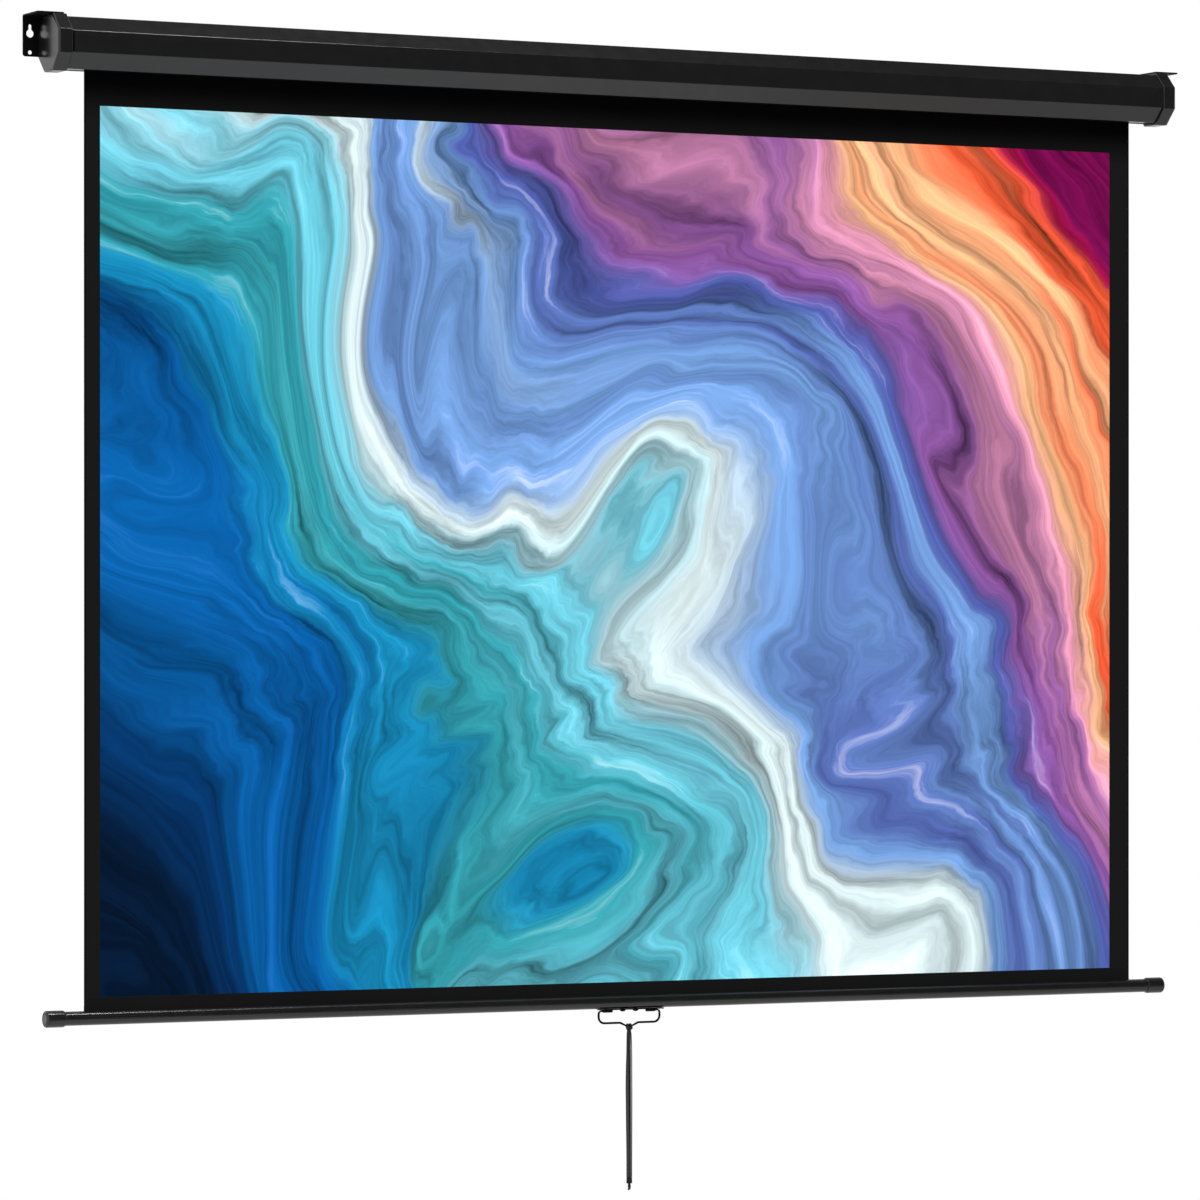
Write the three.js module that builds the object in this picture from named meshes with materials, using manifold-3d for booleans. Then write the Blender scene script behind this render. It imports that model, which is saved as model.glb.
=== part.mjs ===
import * as THREE from 'three';
import { mergeVertices } from 'three/addons/utils/BufferGeometryUtils.js';
import Module from 'manifold-3d';

// Pull-down projection screen on a spring roller, fully drawn out, in millimetres.
// X runs along the case, +X to the right as seen from the front. The front faces -Y and +Z is up.
// The wall is the plane Y = 0. The origin is midway between the brackets, at the keyhole seats' height.

const wasm = await Module();
wasm.setup();

// Fits between pieces, and how far a cutting shape reaches past what it cuts
const fitGap = 0.3;
const overrun = 2;

// Picture and screen sheet
const pictureDiagonal = 2133.6;
const aspectShares = [4, 3];
const sideBorder = 30.4;
const topBand = 48.8;
const bottomBorder = 19.4;
const sheetThickness = 0.45;

// Case: an octagonal steel housing with a slot between two upturned lips along its underside
const caseFlats = 75;
const caseWall = 1.2;
const caseBend = 2;
const slotWidth = 12;
const slotLip = 6;
const sheetSetback = 5.8;

// Moulded end caps: a proud rim round the case, and a skirt inside it
const capRoom = 57.6;
const capWall = 4.2;
const capEdge = 3;
const rimWall = 3.2;
const rimWidth = 22;
const rimBevel = 0.8;
const skirtWall = 2;
const skirtLength = 12;
const bossRadius = 9;
const bossLength = 12;
const capRibWall = 1.8;
const capRibDepth = 7;
const capRibCount = 6;

// Steel angle brackets
const bracketPlate = 2;
const bracketWidth = 42;
const bracketOverhang = 22;
const bracketBend = 3;
const bracketCorner = 4;
const wallLegHeight = 60;
const topLegDepth = 58.2;
const seatDrop = 16;
const keyholeInset = 11;
const keyholeDrop = 11;
const keyholeEntryRadius = 5.7;
const keyholeSlotWidth = 4.6;
const wallHoleRadius = 3.1;
const wallHoleRise = 5.9;

// Countersunk screws through bracket, cap and case
const caseScrewRadius = 1.9;
const caseScrewHeadRadius = 3.7;
const caseScrewLength = 10.5;
const caseScrewSpacing = 22;
const caseScrewInset = 10;
const caseScrewRecess = 0.2;
const caseScrewTip = 1.5;

// Roller tube and the turns of fabric that stay on it
const tubeRadius = 14;
const tubeWall = 1;
const wrapTurns = 1.5;
const wrapPitch = 0.8;
const wrapStepsPerTurn = 28;

// Spindle, fixed in the left cap by its flat tang, with a square seat for the ratchet wheel
const tangHeight = 8;
const tangThickness = 3;
const tangDepth = 9;
const spindleRadius = 3.5;
const spindleSeat = 6;

// Ratchet wheel and the two gravity pawls that ride on the roller head
const ratchetStandoff = 1;
const ratchetWidth = 6;
const ratchetRadius = 9;
const notchDepth = 2.3;
const notchCount = 2;
const notchAngle = THREE.MathUtils.degToRad(52);
const ratchetArcSteps = 8;
const headRadius = 19;
const headWidth = 4;
const plugLength = 21;
const pawlWidth = 5;
const pawlPivotRadius = 15;
const pawlPivotAngle = THREE.MathUtils.degToRad(45);
const pawlEyeRadius = 3.1;
const pawlPinRadius = 1.6;
const pawlPinHeadRadius = 2.6;
const pawlPinHead = 0.9;
const pawlTipHeight = 2.4;
const pawlLift = THREE.MathUtils.degToRad(14);

// Torsion spring with its fixed collar and the plug that drives the tube
const springStart = 51;
const springLength = 360;
const springRadius = 8;
const springWire = 1.1;
const springTurns = 16;
const springStepsPerTurn = 8;
const springWireSides = 5;
const collarFlange = 3;
const collarBoss = 9;
const spindleTail = 6;

// Idle end of the roller
const idlePinRadius = 3;
const idleFlange = 1.5;
const bushWall = 2.4;
const bushFlange = 1.5;
const bushFlangeRadius = 8;

// Bottom bar
const barRadius = 10.2;
const barWall = 1.2;
const barSlot = 2.4;
const barEndRoom = 58.5;
const barCapRadius = 12.1;
const barCapLength = 28;
const barCapWall = 3;
const barCapEdge = 3;
const barCapBevel = 2.5;
const barCapLip = 0.4;
const barPlugLength = 12;
const barPlugWall = 1.5;
const hemRodRadius = 2.2;

// Pull handle: a plate under the bar, and a wire bail in the plate's two loops
const handleShift = -2.6;
const handlePlateLength = 109;
const handlePlateWidth = 14;
const handlePlateThickness = 1.5;
const handlePlateCorner = 3;
const handleScrewSpacing = 21.8;
const handleScrewRadius = 1.9;
const handleScrewHeadRadius = 4.6;
const handleScrewHead = 2.6;
const handleScrewReach = 3;
const loopLength = 15;
const loopSpacing = 73;
const loopWall = 0.8;
const loopDrop = 0.2;
const bailWire = 1.2;
const bailWidth = 103;
const bailHeight = 18;
const bailTopCorner = 4;
const bailBottomCorner = 9.5;
const bailPegReach = 1;
const veeWidth = 30;
const veeDrop = 7.2;
const veeShoulder = 8;
const veeBottom = 9;
const bailSteps = 80;
const bailWireSides = 8;

// Pull cord: doubled, hitched on the bail, bound together at its lower end
const cordRadius = 2.35;
const cordSides = 8;
const cordSteps = 26;
const hitchRope = 1.35;
const hitchClearance = 0.85;
const hitchGap = 0.65;
const hitchBand = 6.6;
const hitchNeck = 4.9;
const bindingHeight = 9;
const bindingDepth = 5;
const tailLength = 10;
const tailRadius = 2;
const tailSlant = 2.4;

// Route of each hanging strand below the middle of the hitch
const leftStrand = [
  [-2.14, -1.65, -5.2], [-2.24, -1.53, -10], [-2.4, -1.29, -18], [-2.52, -1.06, -30],
  [-2.75, -0.73, -45], [-3.07, -0.35, -60], [-3.23, 0, -76], [-3.26, 0.22, -92],
  [-3.13, 0.04, -110], [-3.02, -0.18, -130], [-2.9, -0.39, -150], [-2.7, -0.65, -170],
  [-2.57, -0.82, -190], [-2.51, -0.9, -208], [-2.51, -0.92, -218], [-2.51, -0.92, -226],
];
const rightStrand = [
  [1.64, 1.65, -5.2], [1.74, 1.53, -10], [1.9, 1.29, -18], [2.02, 1.06, -30],
  [2.05, 0.73, -45], [1.91, 0.35, -60], [1.79, 0, -76], [1.74, -0.22, -92],
  [1.89, -0.04, -110], [1.98, 0.18, -130], [2.06, 0.39, -150], [2.14, 0.65, -170],
  [2.17, 0.82, -190], [2.17, 0.9, -208], [2.17, 0.92, -218], [2.17, 0.92, -226],
];

// Fineness of round shapes
const roundSides = 28;
const smallSides = 16;
const bendSteps = 3;
const edgeSteps = 3;

// Places worked out from the sizes above
const diagonalShare = Math.hypot(...aspectShares);
const pictureWidth = pictureDiagonal * aspectShares[0] / diagonalShare;
const pictureHeight = pictureDiagonal * aspectShares[1] / diagonalShare;
const sheetHalf = pictureWidth / 2 + sideBorder;

const caseHalf = caseFlats / 2;
const capHalf = caseHalf + fitGap + rimWall;
const capX = sheetHalf + capRoom;
const capInnerX = capX - capWall;
const caseEndX = capInnerX - fitGap;
const legTop = seatDrop;
const caseZ = legTop - bracketPlate - fitGap - capHalf;
const caseY = -(bracketPlate + fitGap + capHalf);
const sheetY = caseY + sheetSetback;
const bracketX = capX + bracketOverhang;
const caseScrewX = capX - caseScrewInset;

const wrapStart = tubeRadius + fitGap;
const wrapEnd = wrapStart + wrapTurns * wrapPitch;
const rollerY = sheetY - sheetThickness / 2 - wrapEnd;
const rollerZ = caseZ;
const tubeBore = tubeRadius - tubeWall;
const plugRadius = tubeBore - fitGap;
const idleFlangeRadius = tubeRadius + idleFlange;
const headStart = bossLength + ratchetStandoff + ratchetWidth + ratchetStandoff;
const tubeEndX = capInnerX - headStart - headWidth - fitGap;

const barX = sheetHalf + barEndRoom;
const barZ = caseZ - caseHalf - topBand - pictureHeight - bottomBorder - barRadius;
const barBore = barRadius - barWall;
const hemRadius = hemRodRadius + fitGap + sheetThickness;
const hemZ = barZ + barBore - fitGap - hemRadius;

const plateTopZ = barZ - barRadius - fitGap;
const plateBottomZ = plateTopZ - handlePlateThickness;
const loopBore = bailWire + fitGap;
const hingeZ = plateBottomZ - loopDrop - loopBore;
const veeSlope = Math.atan(veeDrop / (veeWidth / 2));
const veeBottomZ = hingeZ - bailHeight - veeDrop + veeBottom / Math.cos(veeSlope) - veeBottom;
const ringX = hitchGap / 2 + hitchRope;

// Finishes
const paintedSteel = { color: 0x1c1c1d, roughness: 0.42, metalness: 0.1 };
const glossPlastic = { color: 0x1f1f20, roughness: 0.25, metalness: 0 };
const zincSteel = { color: 0x9a9c9e, roughness: 0.35, metalness: 0.9 };
const bareSteel = { color: 0x8d9094, roughness: 0.4, metalness: 0.9 };
const sheetFabric = { color: 0x161616, roughness: 0.9, metalness: 0 };
const natural = { color: 0xd9d6cc, roughness: 0.55, metalness: 0 };
const cordFibre = { color: 0x222222, roughness: 0.85, metalness: 0 };

const screen = new THREE.Group();
const X = new THREE.Vector3(1, 0, 0);
const Y = new THREE.Vector3(0, 1, 0);
const Z = new THREE.Vector3(0, 0, 1);

// Volume of a closed triangle mesh, negative where its faces point in
function signedVolume(positions, indices) {
  const a = new THREE.Vector3();
  const b = new THREE.Vector3();
  const c = new THREE.Vector3();
  let sixfold = 0;
  for (let i = 0; i < indices.length; i += 3) {
    a.fromArray(positions, 3 * indices[i]);
    b.fromArray(positions, 3 * indices[i + 1]);
    c.fromArray(positions, 3 * indices[i + 2]);
    sixfold += a.dot(b.cross(c));
  }
  return sixfold / 6;
}

// A closed solid made from a three.js geometry, with its faces turned outwards
function solid(geometry) {
  const bare = geometry.clone();
  bare.deleteAttribute('normal');
  bare.deleteAttribute('uv');
  const merged = mergeVertices(bare);
  const positions = merged.attributes.position.array;
  const kept = [];
  for (let i = 0; i < merged.index.count; i += 3) {
    const corners = [0, 1, 2].map((k) => merged.index.getX(i + k));
    if (new Set(corners).size === 3) {
      kept.push(corners);
    }
  }
  if (signedVolume(positions, kept.flat()) < 0) {
    kept.forEach((corners) => corners.reverse());
  }
  const mesh = new wasm.Mesh({
    numProp: 3,
    vertProperties: new Float32Array(positions),
    triVerts: new Uint32Array(kept.flat()),
  });
  return new wasm.Manifold(mesh);
}

// Adds a finished solid to the screen as a named mesh
function addPiece(name, finish, body) {
  const mesh = body.getMesh();
  const geometry = new THREE.BufferGeometry();
  geometry.setAttribute('position', new THREE.Float32BufferAttribute(mesh.vertProperties, 3));
  geometry.setIndex([...mesh.triVerts]);
  const flat = geometry.toNonIndexed();
  flat.computeVertexNormals();
  const piece = new THREE.Mesh(flat, new THREE.MeshStandardMaterial(finish));
  piece.name = name;
  screen.add(piece);
}

// Lays a geometry whose axis is local Y along X
function lieAlongX(geometry) {
  const turn = new THREE.Matrix4().makeBasis(Y, X, Z.clone().negate());
  return geometry.applyMatrix4(turn);
}

// A Y-Z outline drawn out along X
function alongX(outline, fromX, toX) {
  const geometry = new THREE.ExtrudeGeometry(outline, { depth: toX - fromX, bevelEnabled: false });
  geometry.applyMatrix4(new THREE.Matrix4().makeBasis(Y, Z, X));
  return solid(geometry.translate(fromX, 0, 0));
}

// An X-Z outline drawn out along Y
function alongY(outline, fromY, toY) {
  const geometry = new THREE.ExtrudeGeometry(outline, { depth: toY - fromY, bevelEnabled: false });
  geometry.applyMatrix4(new THREE.Matrix4().makeBasis(X, Z, Y.clone().negate()));
  return solid(geometry.translate(0, toY, 0));
}

// An X-Y outline drawn out along Z
function alongZ(outline, fromZ, toZ) {
  const geometry = new THREE.ExtrudeGeometry(outline, { depth: toZ - fromZ, bevelEnabled: false });
  return solid(geometry.translate(0, 0, fromZ));
}

// A block between two corners
function block(low, high) {
  const size = high.map((value, i) => value - low[i]);
  const middle = high.map((value, i) => (value + low[i]) / 2);
  return solid(new THREE.BoxGeometry(...size).translate(...middle));
}

// A turned solid about a line along X, from a profile of [radius, x]
function turnedAlongX(profile, y, z, sides = roundSides) {
  const points = profile.map(([radius, x]) => new THREE.Vector2(radius, x));
  return solid(lieAlongX(new THREE.LatheGeometry(points, sides)).translate(0, y, z));
}

// A plain rod along X
function rodAlongX(radius, fromX, toX, y, z, sides = roundSides) {
  return turnedAlongX([[0, fromX], [radius, fromX], [radius, toX], [0, toX]], y, z, sides);
}

// A sleeve along X
function sleeveAlongX(outer, inner, fromX, toX, y, z, sides = roundSides) {
  const profile = [[inner, fromX], [outer, fromX], [outer, toX], [inner, toX], [inner, fromX]];
  return turnedAlongX(profile, y, z, sides);
}

// A solid with eight flats about the middle of the case, from a profile of [half across flats, x]
const octagonSides = 8;
const octagonAngle = Math.PI / octagonSides;
function octagonAlongX(profile) {
  const points = profile.map(([half, x]) => new THREE.Vector2(half / Math.cos(octagonAngle), x));
  const geometry = new THREE.LatheGeometry(points, octagonSides, octagonAngle);
  return solid(lieAlongX(geometry).translate(0, caseY, caseZ));
}

// Points of a line through corners [a, b, radius], with an arc at each corner that has a radius
function filletedPoints(corners, closed) {
  const count = corners.length;
  const points = [];
  corners.forEach(([a, b, radius = 0], i) => {
    const corner = new THREE.Vector2(a, b);
    const isEnd = !closed && (i === 0 || i === count - 1);
    if (radius === 0 || isEnd) {
      points.push(corner);
      return;
    }
    const [beforeA, beforeB] = corners[(i + count - 1) % count];
    const [afterA, afterB] = corners[(i + 1) % count];
    const back = new THREE.Vector2(beforeA, beforeB).sub(corner).normalize();
    const ahead = new THREE.Vector2(afterA, afterB).sub(corner).normalize();
    const half = Math.acos(back.dot(ahead)) / 2;
    const inward = back.clone().add(ahead).normalize();
    const centre = corner.clone().addScaledVector(inward, radius / Math.sin(half));
    const start = corner.clone().addScaledVector(back, radius / Math.tan(half)).sub(centre);
    const end = corner.clone().addScaledVector(ahead, radius / Math.tan(half)).sub(centre);
    const sweep = Math.atan2(start.cross(end), start.dot(end));
    for (let k = 0; k <= bendSteps; k += 1) {
      const spoke = start.clone().rotateAround(new THREE.Vector2(), sweep * k / bendSteps);
      points.push(centre.clone().add(spoke));
    }
  });
  return points;
}

function filletedOutline(corners) {
  return new THREE.Shape(filletedPoints(corners, true));
}

// Points evenly along an arc about zero, both its ends with it
function arcPoints(radius, from, to, steps) {
  return Array.from({ length: steps + 1 }, (_, k) => {
    const angle = from + (to - from) * k / steps;
    return new THREE.Vector2(radius * Math.cos(angle), radius * Math.sin(angle));
  });
}

// Profile points of a rounded edge between an end face and a side, on both kinds of turned solid
function roundedEdge(outer, edge, place) {
  const points = [];
  for (let k = 0; k <= edgeSteps; k += 1) {
    const angle = Math.PI / 2 * k / edgeSteps;
    points.push([outer - edge * (1 - Math.sin(angle)), place(edge * (1 - Math.cos(angle)))]);
  }
  return points;
}

// A round wire or cord along a smooth curve
function sweptRod(points, radius, sides, steps) {
  const path = new THREE.CatmullRomCurve3(points, false, 'centripetal');
  return sweptAlong(path, radius, sides, steps);
}

function sweptAlong(path, radius, sides, steps) {
  const section = new THREE.Shape(arcPoints(radius, 0, 2 * Math.PI, sides).slice(1));
  return solid(new THREE.ExtrudeGeometry(section, { extrudePath: path, steps, bevelEnabled: false }));
}

// A drill along Y for the screws that hold bracket, cap and case together
function caseScrewDrill(x, z) {
  const radius = caseScrewRadius + fitGap;
  const length = 2 * (caseScrewLength + overrun);
  return solid(new THREE.CylinderGeometry(radius, radius, length, smallSides).translate(x, 0, z));
}

const caseScrewHeights = [caseZ + caseScrewSpacing / 2, caseZ - caseScrewSpacing / 2];

function makeCaseShell() {
  const outer = caseHalf;
  const inner = caseHalf - caseWall;
  const side = Math.tan(octagonAngle);
  const lipTop = -outer + slotLip;
  const front = sheetSetback - slotWidth / 2;
  const rear = sheetSetback + slotWidth / 2;
  const innerBend = caseBend - caseWall;
  const corners = [
    [rear, lipTop], [rear, -outer, innerBend], [outer * side, -outer, caseBend],
    [outer, -outer * side, caseBend], [outer, outer * side, caseBend],
    [outer * side, outer, caseBend], [-outer * side, outer, caseBend],
    [-outer, outer * side, caseBend], [-outer, -outer * side, caseBend],
    [-outer * side, -outer, caseBend], [front, -outer, innerBend], [front, lipTop],
    [front - caseWall, lipTop], [front - caseWall, -inner], [-inner * side, -inner, innerBend],
    [-inner, -inner * side, innerBend], [-inner, inner * side, innerBend],
    [-inner * side, inner, innerBend], [inner * side, inner, innerBend],
    [inner, inner * side, innerBend], [inner, -inner * side, innerBend],
    [inner * side, -inner, innerBend], [rear + caseWall, -inner], [rear + caseWall, lipTop],
  ];
  let shell = alongX(filletedOutline(corners), -caseEndX, caseEndX).translate([0, caseY, caseZ]);
  for (const x of [-caseScrewX, caseScrewX]) {
    for (const z of caseScrewHeights) {
      shell = shell.subtract(caseScrewDrill(x, z));
    }
  }
  addPiece('case_shell', paintedSteel, shell);
}

// One end cap with side -1 on the left and +1 on the right. Places run inwards from its outer face.
function makeEndCap(name, side, cutSeat) {
  const place = (inwards) => side * (capX - inwards);
  const pocket = caseHalf + fitGap;
  const skirtOuter = caseHalf - caseWall - fitGap;
  const skirtInner = skirtOuter - skirtWall;
  const skirtEnd = capWall + skirtLength;
  let cap = octagonAlongX([
    [0, place(0)], ...roundedEdge(capHalf, capEdge, place),
    [capHalf, place(rimWidth - rimBevel)], [capHalf - rimBevel, place(rimWidth)],
    [pocket, place(rimWidth)], [pocket, place(capWall)],
    [skirtOuter, place(capWall)], [skirtOuter, place(skirtEnd)],
    [skirtInner, place(skirtEnd)], [skirtInner, place(capWall)], [0, place(capWall)],
  ]);
  const ribHalf = skirtOuter - skirtWall / 2;
  const ribRoom = octagonAlongX([
    [0, place(capWall / 2)], [ribHalf, place(capWall / 2)],
    [ribHalf, place(capWall + capRibDepth)], [0, place(capWall + capRibDepth)],
  ]);
  for (let k = 0; k < capRibCount; k += 1) {
    const rib = new THREE.BoxGeometry(caseFlats, capRibWall, caseFlats);
    rib.translate(0, 0, caseHalf).rotateX(2 * Math.PI * k / capRibCount);
    cap = cap.add(solid(rib.translate(place(0), rollerY, rollerZ)).intersect(ribRoom));
  }
  cap = cap.add(rodAlongX(bossRadius, place(capWall / 2), place(capWall + bossLength), rollerY, rollerZ));
  const lipRoom = slotWidth / 2 + caseWall + 2 * fitGap;
  const notchEnds = [place(capWall), place(skirtEnd + overrun)];
  cap = cap.subtract(block(
    [Math.min(...notchEnds), sheetY - lipRoom, caseZ - caseHalf],
    [Math.max(...notchEnds), sheetY + lipRoom, caseZ - caseHalf + slotLip + fitGap],
  ));
  cap = cap.subtract(cutSeat(place));
  for (const z of caseScrewHeights) {
    cap = cap.subtract(caseScrewDrill(side * caseScrewX, z));
  }
  addPiece(name, glossPlastic, cap);
}

// The left boss takes the spindle's tang, the right one the idle bush
function makeEndCaps() {
  makeEndCap('left_end_cap', -1, (place) => block(
    [place(capWall + bossLength - tangDepth - fitGap), rollerY - tangThickness / 2 - fitGap,
      rollerZ - tangHeight / 2 - fitGap],
    [place(capWall + bossLength + overrun), rollerY + tangThickness / 2 + fitGap,
      rollerZ + tangHeight / 2 + fitGap],
  ));
  const seatRadius = idlePinRadius + fitGap + bushWall + fitGap;
  makeEndCap('right_end_cap', 1, (place) => rodAlongX(
    seatRadius, place(capWall + bossLength + overrun), place(capWall), rollerY, rollerZ,
  ));
}

// A keyhole about its seat: the screw head enters the round part and the shank rises to the seat
function keyholeOutline(seatX) {
  const half = keyholeSlotWidth / 2;
  const turn = Math.acos(half / keyholeEntryRadius);
  const outline = new THREE.Shape();
  outline.absarc(seatX, -keyholeDrop, keyholeEntryRadius, turn, Math.PI - turn, true);
  outline.absarc(seatX, 0, half, Math.PI, 0, true);
  return outline;
}

function makeBracket(name, side) {
  const outerX = side * bracketX;
  const innerX = side * (bracketX - bracketWidth);
  const lowX = Math.min(outerX, innerX);
  const highX = Math.max(outerX, innerX);
  const bottom = legTop - wallLegHeight;
  let angle = alongX(filletedOutline([
    [0, bottom], [0, legTop, bracketBend], [-topLegDepth, legTop],
    [-topLegDepth, legTop - bracketPlate], [-bracketPlate, legTop - bracketPlate, bracketBend - bracketPlate],
    [-bracketPlate, bottom],
  ]), lowX, highX);
  const wallOutline = filletedOutline([
    [lowX, bottom, bracketCorner], [highX, bottom, bracketCorner],
    [highX, legTop + overrun], [lowX, legTop + overrun],
  ]);
  const topOutline = filletedOutline([
    [lowX, -topLegDepth, bracketCorner], [highX, -topLegDepth, bracketCorner],
    [highX, overrun], [lowX, overrun],
  ]);
  angle = angle.intersect(alongY(wallOutline, -topLegDepth - overrun, overrun));
  angle = angle.intersect(alongZ(topOutline, bottom - overrun, legTop + overrun));
  const seatX = outerX - side * keyholeInset;
  angle = angle.subtract(alongY(keyholeOutline(seatX), -bracketPlate - overrun, overrun));
  const drillLength = 2 * (bracketPlate + overrun);
  const wallHole = new THREE.CylinderGeometry(wallHoleRadius, wallHoleRadius, drillLength, smallSides);
  angle = angle.subtract(solid(wallHole.translate(seatX, 0, bottom + wallHoleRise)));
  const sinkRadius = caseScrewHeadRadius + fitGap;
  const shankRadius = caseScrewRadius + fitGap;
  const sinkFloor = -caseScrewRecess - (caseScrewHeadRadius - caseScrewRadius);
  const sinkProfile = [
    [0, overrun], [sinkRadius, overrun], [sinkRadius, -caseScrewRecess],
    [shankRadius, sinkFloor], [shankRadius, -bracketPlate - overrun], [0, -bracketPlate - overrun],
  ];
  for (const z of caseScrewHeights) {
    const sink = new THREE.LatheGeometry(sinkProfile.map(([r, y]) => new THREE.Vector2(r, y)), smallSides);
    angle = angle.subtract(solid(sink.translate(side * caseScrewX, 0, z)));
  }
  addPiece(name, paintedSteel, angle);
}

// A countersunk self-tapping screw with its head a little below the bracket's back face
function makeCaseScrew(name, x, z) {
  const cone = caseScrewHeadRadius - caseScrewRadius;
  const profile = [
    [0, -caseScrewRecess], [caseScrewHeadRadius, -caseScrewRecess],
    [caseScrewRadius, -caseScrewRecess - cone],
    [caseScrewRadius, caseScrewTip - caseScrewLength], [0, -caseScrewLength],
  ];
  const points = profile.map(([radius, y]) => new THREE.Vector2(radius, y));
  addPiece(name, zincSteel, solid(new THREE.LatheGeometry(points, smallSides).translate(x, 0, z)));
}

function makeBrackets() {
  makeBracket('left_bracket', -1);
  makeBracket('right_bracket', 1);
  makeCaseScrew('left_upper_case_screw', -caseScrewX, caseScrewHeights[0]);
  makeCaseScrew('left_lower_case_screw', -caseScrewX, caseScrewHeights[1]);
  makeCaseScrew('right_upper_case_screw', caseScrewX, caseScrewHeights[0]);
  makeCaseScrew('right_lower_case_screw', caseScrewX, caseScrewHeights[1]);
}

// Places in the mechanism run inwards from the inner face of each cap
const lockPlace = (inwards) => inwards - capInnerX;
const idlePlace = (inwards) => capInnerX - inwards;

function makeSpindle() {
  const round = rodAlongX(
    spindleRadius, lockPlace(headStart), lockPlace(springStart + springLength + collarBoss + spindleTail),
    rollerY, rollerZ, smallSides,
  );
  const seat = block(
    [lockPlace(bossLength + fitGap), rollerY - spindleSeat / 2, rollerZ - spindleSeat / 2],
    [lockPlace(headStart + overrun), rollerY + spindleSeat / 2, rollerZ + spindleSeat / 2],
  );
  const squared = seat.intersect(rodAlongX(
    spindleSeat / 2 * Math.SQRT2 - fitGap, lockPlace(0), lockPlace(headStart), rollerY, rollerZ, smallSides,
  ));
  const tang = block(
    [lockPlace(bossLength - tangDepth), rollerY - tangThickness / 2, rollerZ - tangHeight / 2],
    [lockPlace(bossLength + fitGap + ratchetStandoff / 2), rollerY + tangThickness / 2,
      rollerZ + tangHeight / 2],
  );
  addPiece('spindle', bareSteel, round.add(squared).add(tang));
}

// Each notch falls away in a long ramp and ends in a radial face that stops the pawl
function makeRatchetWheel() {
  const pitch = 2 * Math.PI / notchCount;
  const root = ratchetRadius - notchDepth;
  const points = [];
  for (let k = 0; k < notchCount; k += 1) {
    const face = Math.PI / 2 + k * pitch;
    points.push(...arcPoints(ratchetRadius, face, face + pitch - notchAngle, ratchetArcSteps));
    points.push(new THREE.Vector2(root * Math.cos(face + pitch), root * Math.sin(face + pitch)));
  }
  const from = lockPlace(bossLength + ratchetStandoff);
  const to = lockPlace(bossLength + ratchetStandoff + ratchetWidth);
  const wheel = alongX(new THREE.Shape(points), from, to).translate([0, rollerY, rollerZ]);
  const bore = spindleSeat / 2 + fitGap;
  addPiece('ratchet_wheel', bareSteel, wheel.subtract(block(
    [from - overrun, rollerY - bore, rollerZ - bore],
    [to + overrun, rollerY + bore, rollerZ + bore],
  )));
}

// The roller head: a disc that carries the pawl pins, and a plug that drives the tube
function pawlPivot(turn) {
  return new THREE.Vector2(pawlPivotRadius, 0).rotateAround(new THREE.Vector2(), pawlPivotAngle + turn);
}

function makeRollerHead() {
  const face = lockPlace(headStart);
  const shoulder = lockPlace(headStart + headWidth);
  const end = lockPlace(headStart + headWidth + plugLength);
  const bore = spindleRadius + fitGap;
  let head = turnedAlongX([
    [bore, face], [headRadius, face], [headRadius, shoulder],
    [plugRadius, shoulder], [plugRadius, end], [bore, end], [bore, face],
  ], rollerY, rollerZ);
  for (const turn of [0, Math.PI]) {
    const pivot = pawlPivot(turn);
    head = head.subtract(rodAlongX(
      pawlPinRadius + fitGap, face - overrun, shoulder + overrun,
      rollerY + pivot.x, rollerZ + pivot.y, smallSides,
    ));
  }
  addPiece('roller_head', natural, head);
}

// A pawl, drawn dropped into its notch and then lifted clear about its pin, and its headed pin
function makePawl(name, turn) {
  const pivot = pawlPivot(turn);
  const root = ratchetRadius - notchDepth + fitGap;
  const eye = pawlPivot(0);
  const tipReach = Math.hypot(eye.x, eye.y - ratchetRadius) - fitGap;
  const tipAt = (height) => new THREE.Vector2(
    eye.x - Math.sqrt(tipReach ** 2 - (eye.y - height) ** 2), height);
  const tipLow = tipAt(root);
  const tipHigh = tipAt(root + pawlTipHeight);
  const topAngle = Math.PI / 2 + pawlPivotAngle / 2;
  const lowAngle = topAngle + Math.PI - pawlPivotAngle / 2;
  const outline = new THREE.Shape();
  outline.moveTo(tipLow.x, tipLow.y);
  outline.lineTo(tipHigh.x, tipHigh.y);
  outline.absarc(eye.x, eye.y, pawlEyeRadius, topAngle, lowAngle, true);
  const pinHole = new THREE.Path();
  pinHole.absarc(eye.x, eye.y, pawlPinRadius + fitGap, 0, 2 * Math.PI, false);
  outline.holes.push(pinHole);
  const middle = bossLength + ratchetStandoff + ratchetWidth / 2;
  const from = lockPlace(middle - pawlWidth / 2);
  const to = lockPlace(middle + pawlWidth / 2);
  const lift = new THREE.Matrix4().makeTranslation(0, eye.x, eye.y);
  lift.multiply(new THREE.Matrix4().makeRotationX(-pawlLift));
  lift.multiply(new THREE.Matrix4().makeTranslation(0, -eye.x, -eye.y));
  const spin = new THREE.Matrix4().makeRotationX(turn).multiply(lift);
  const seat = new THREE.Matrix4().makeTranslation(0, rollerY, rollerZ).multiply(spin);
  addPiece(name, bareSteel, alongX(outline, from, to).transform(seat.toArray()));
  const pinHead = lockPlace(middle - pawlWidth / 2 - fitGap);
  const pinEnd = lockPlace(headStart + headWidth);
  addPiece(`${name}_pin`, bareSteel, turnedAlongX([
    [0, pinHead - pawlPinHead], [pawlPinHeadRadius, pinHead - pawlPinHead],
    [pawlPinHeadRadius, pinHead], [pawlPinRadius, pinHead], [pawlPinRadius, pinEnd], [0, pinEnd],
  ], rollerY + pivot.x, rollerZ + pivot.y, smallSides));
}

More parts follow.
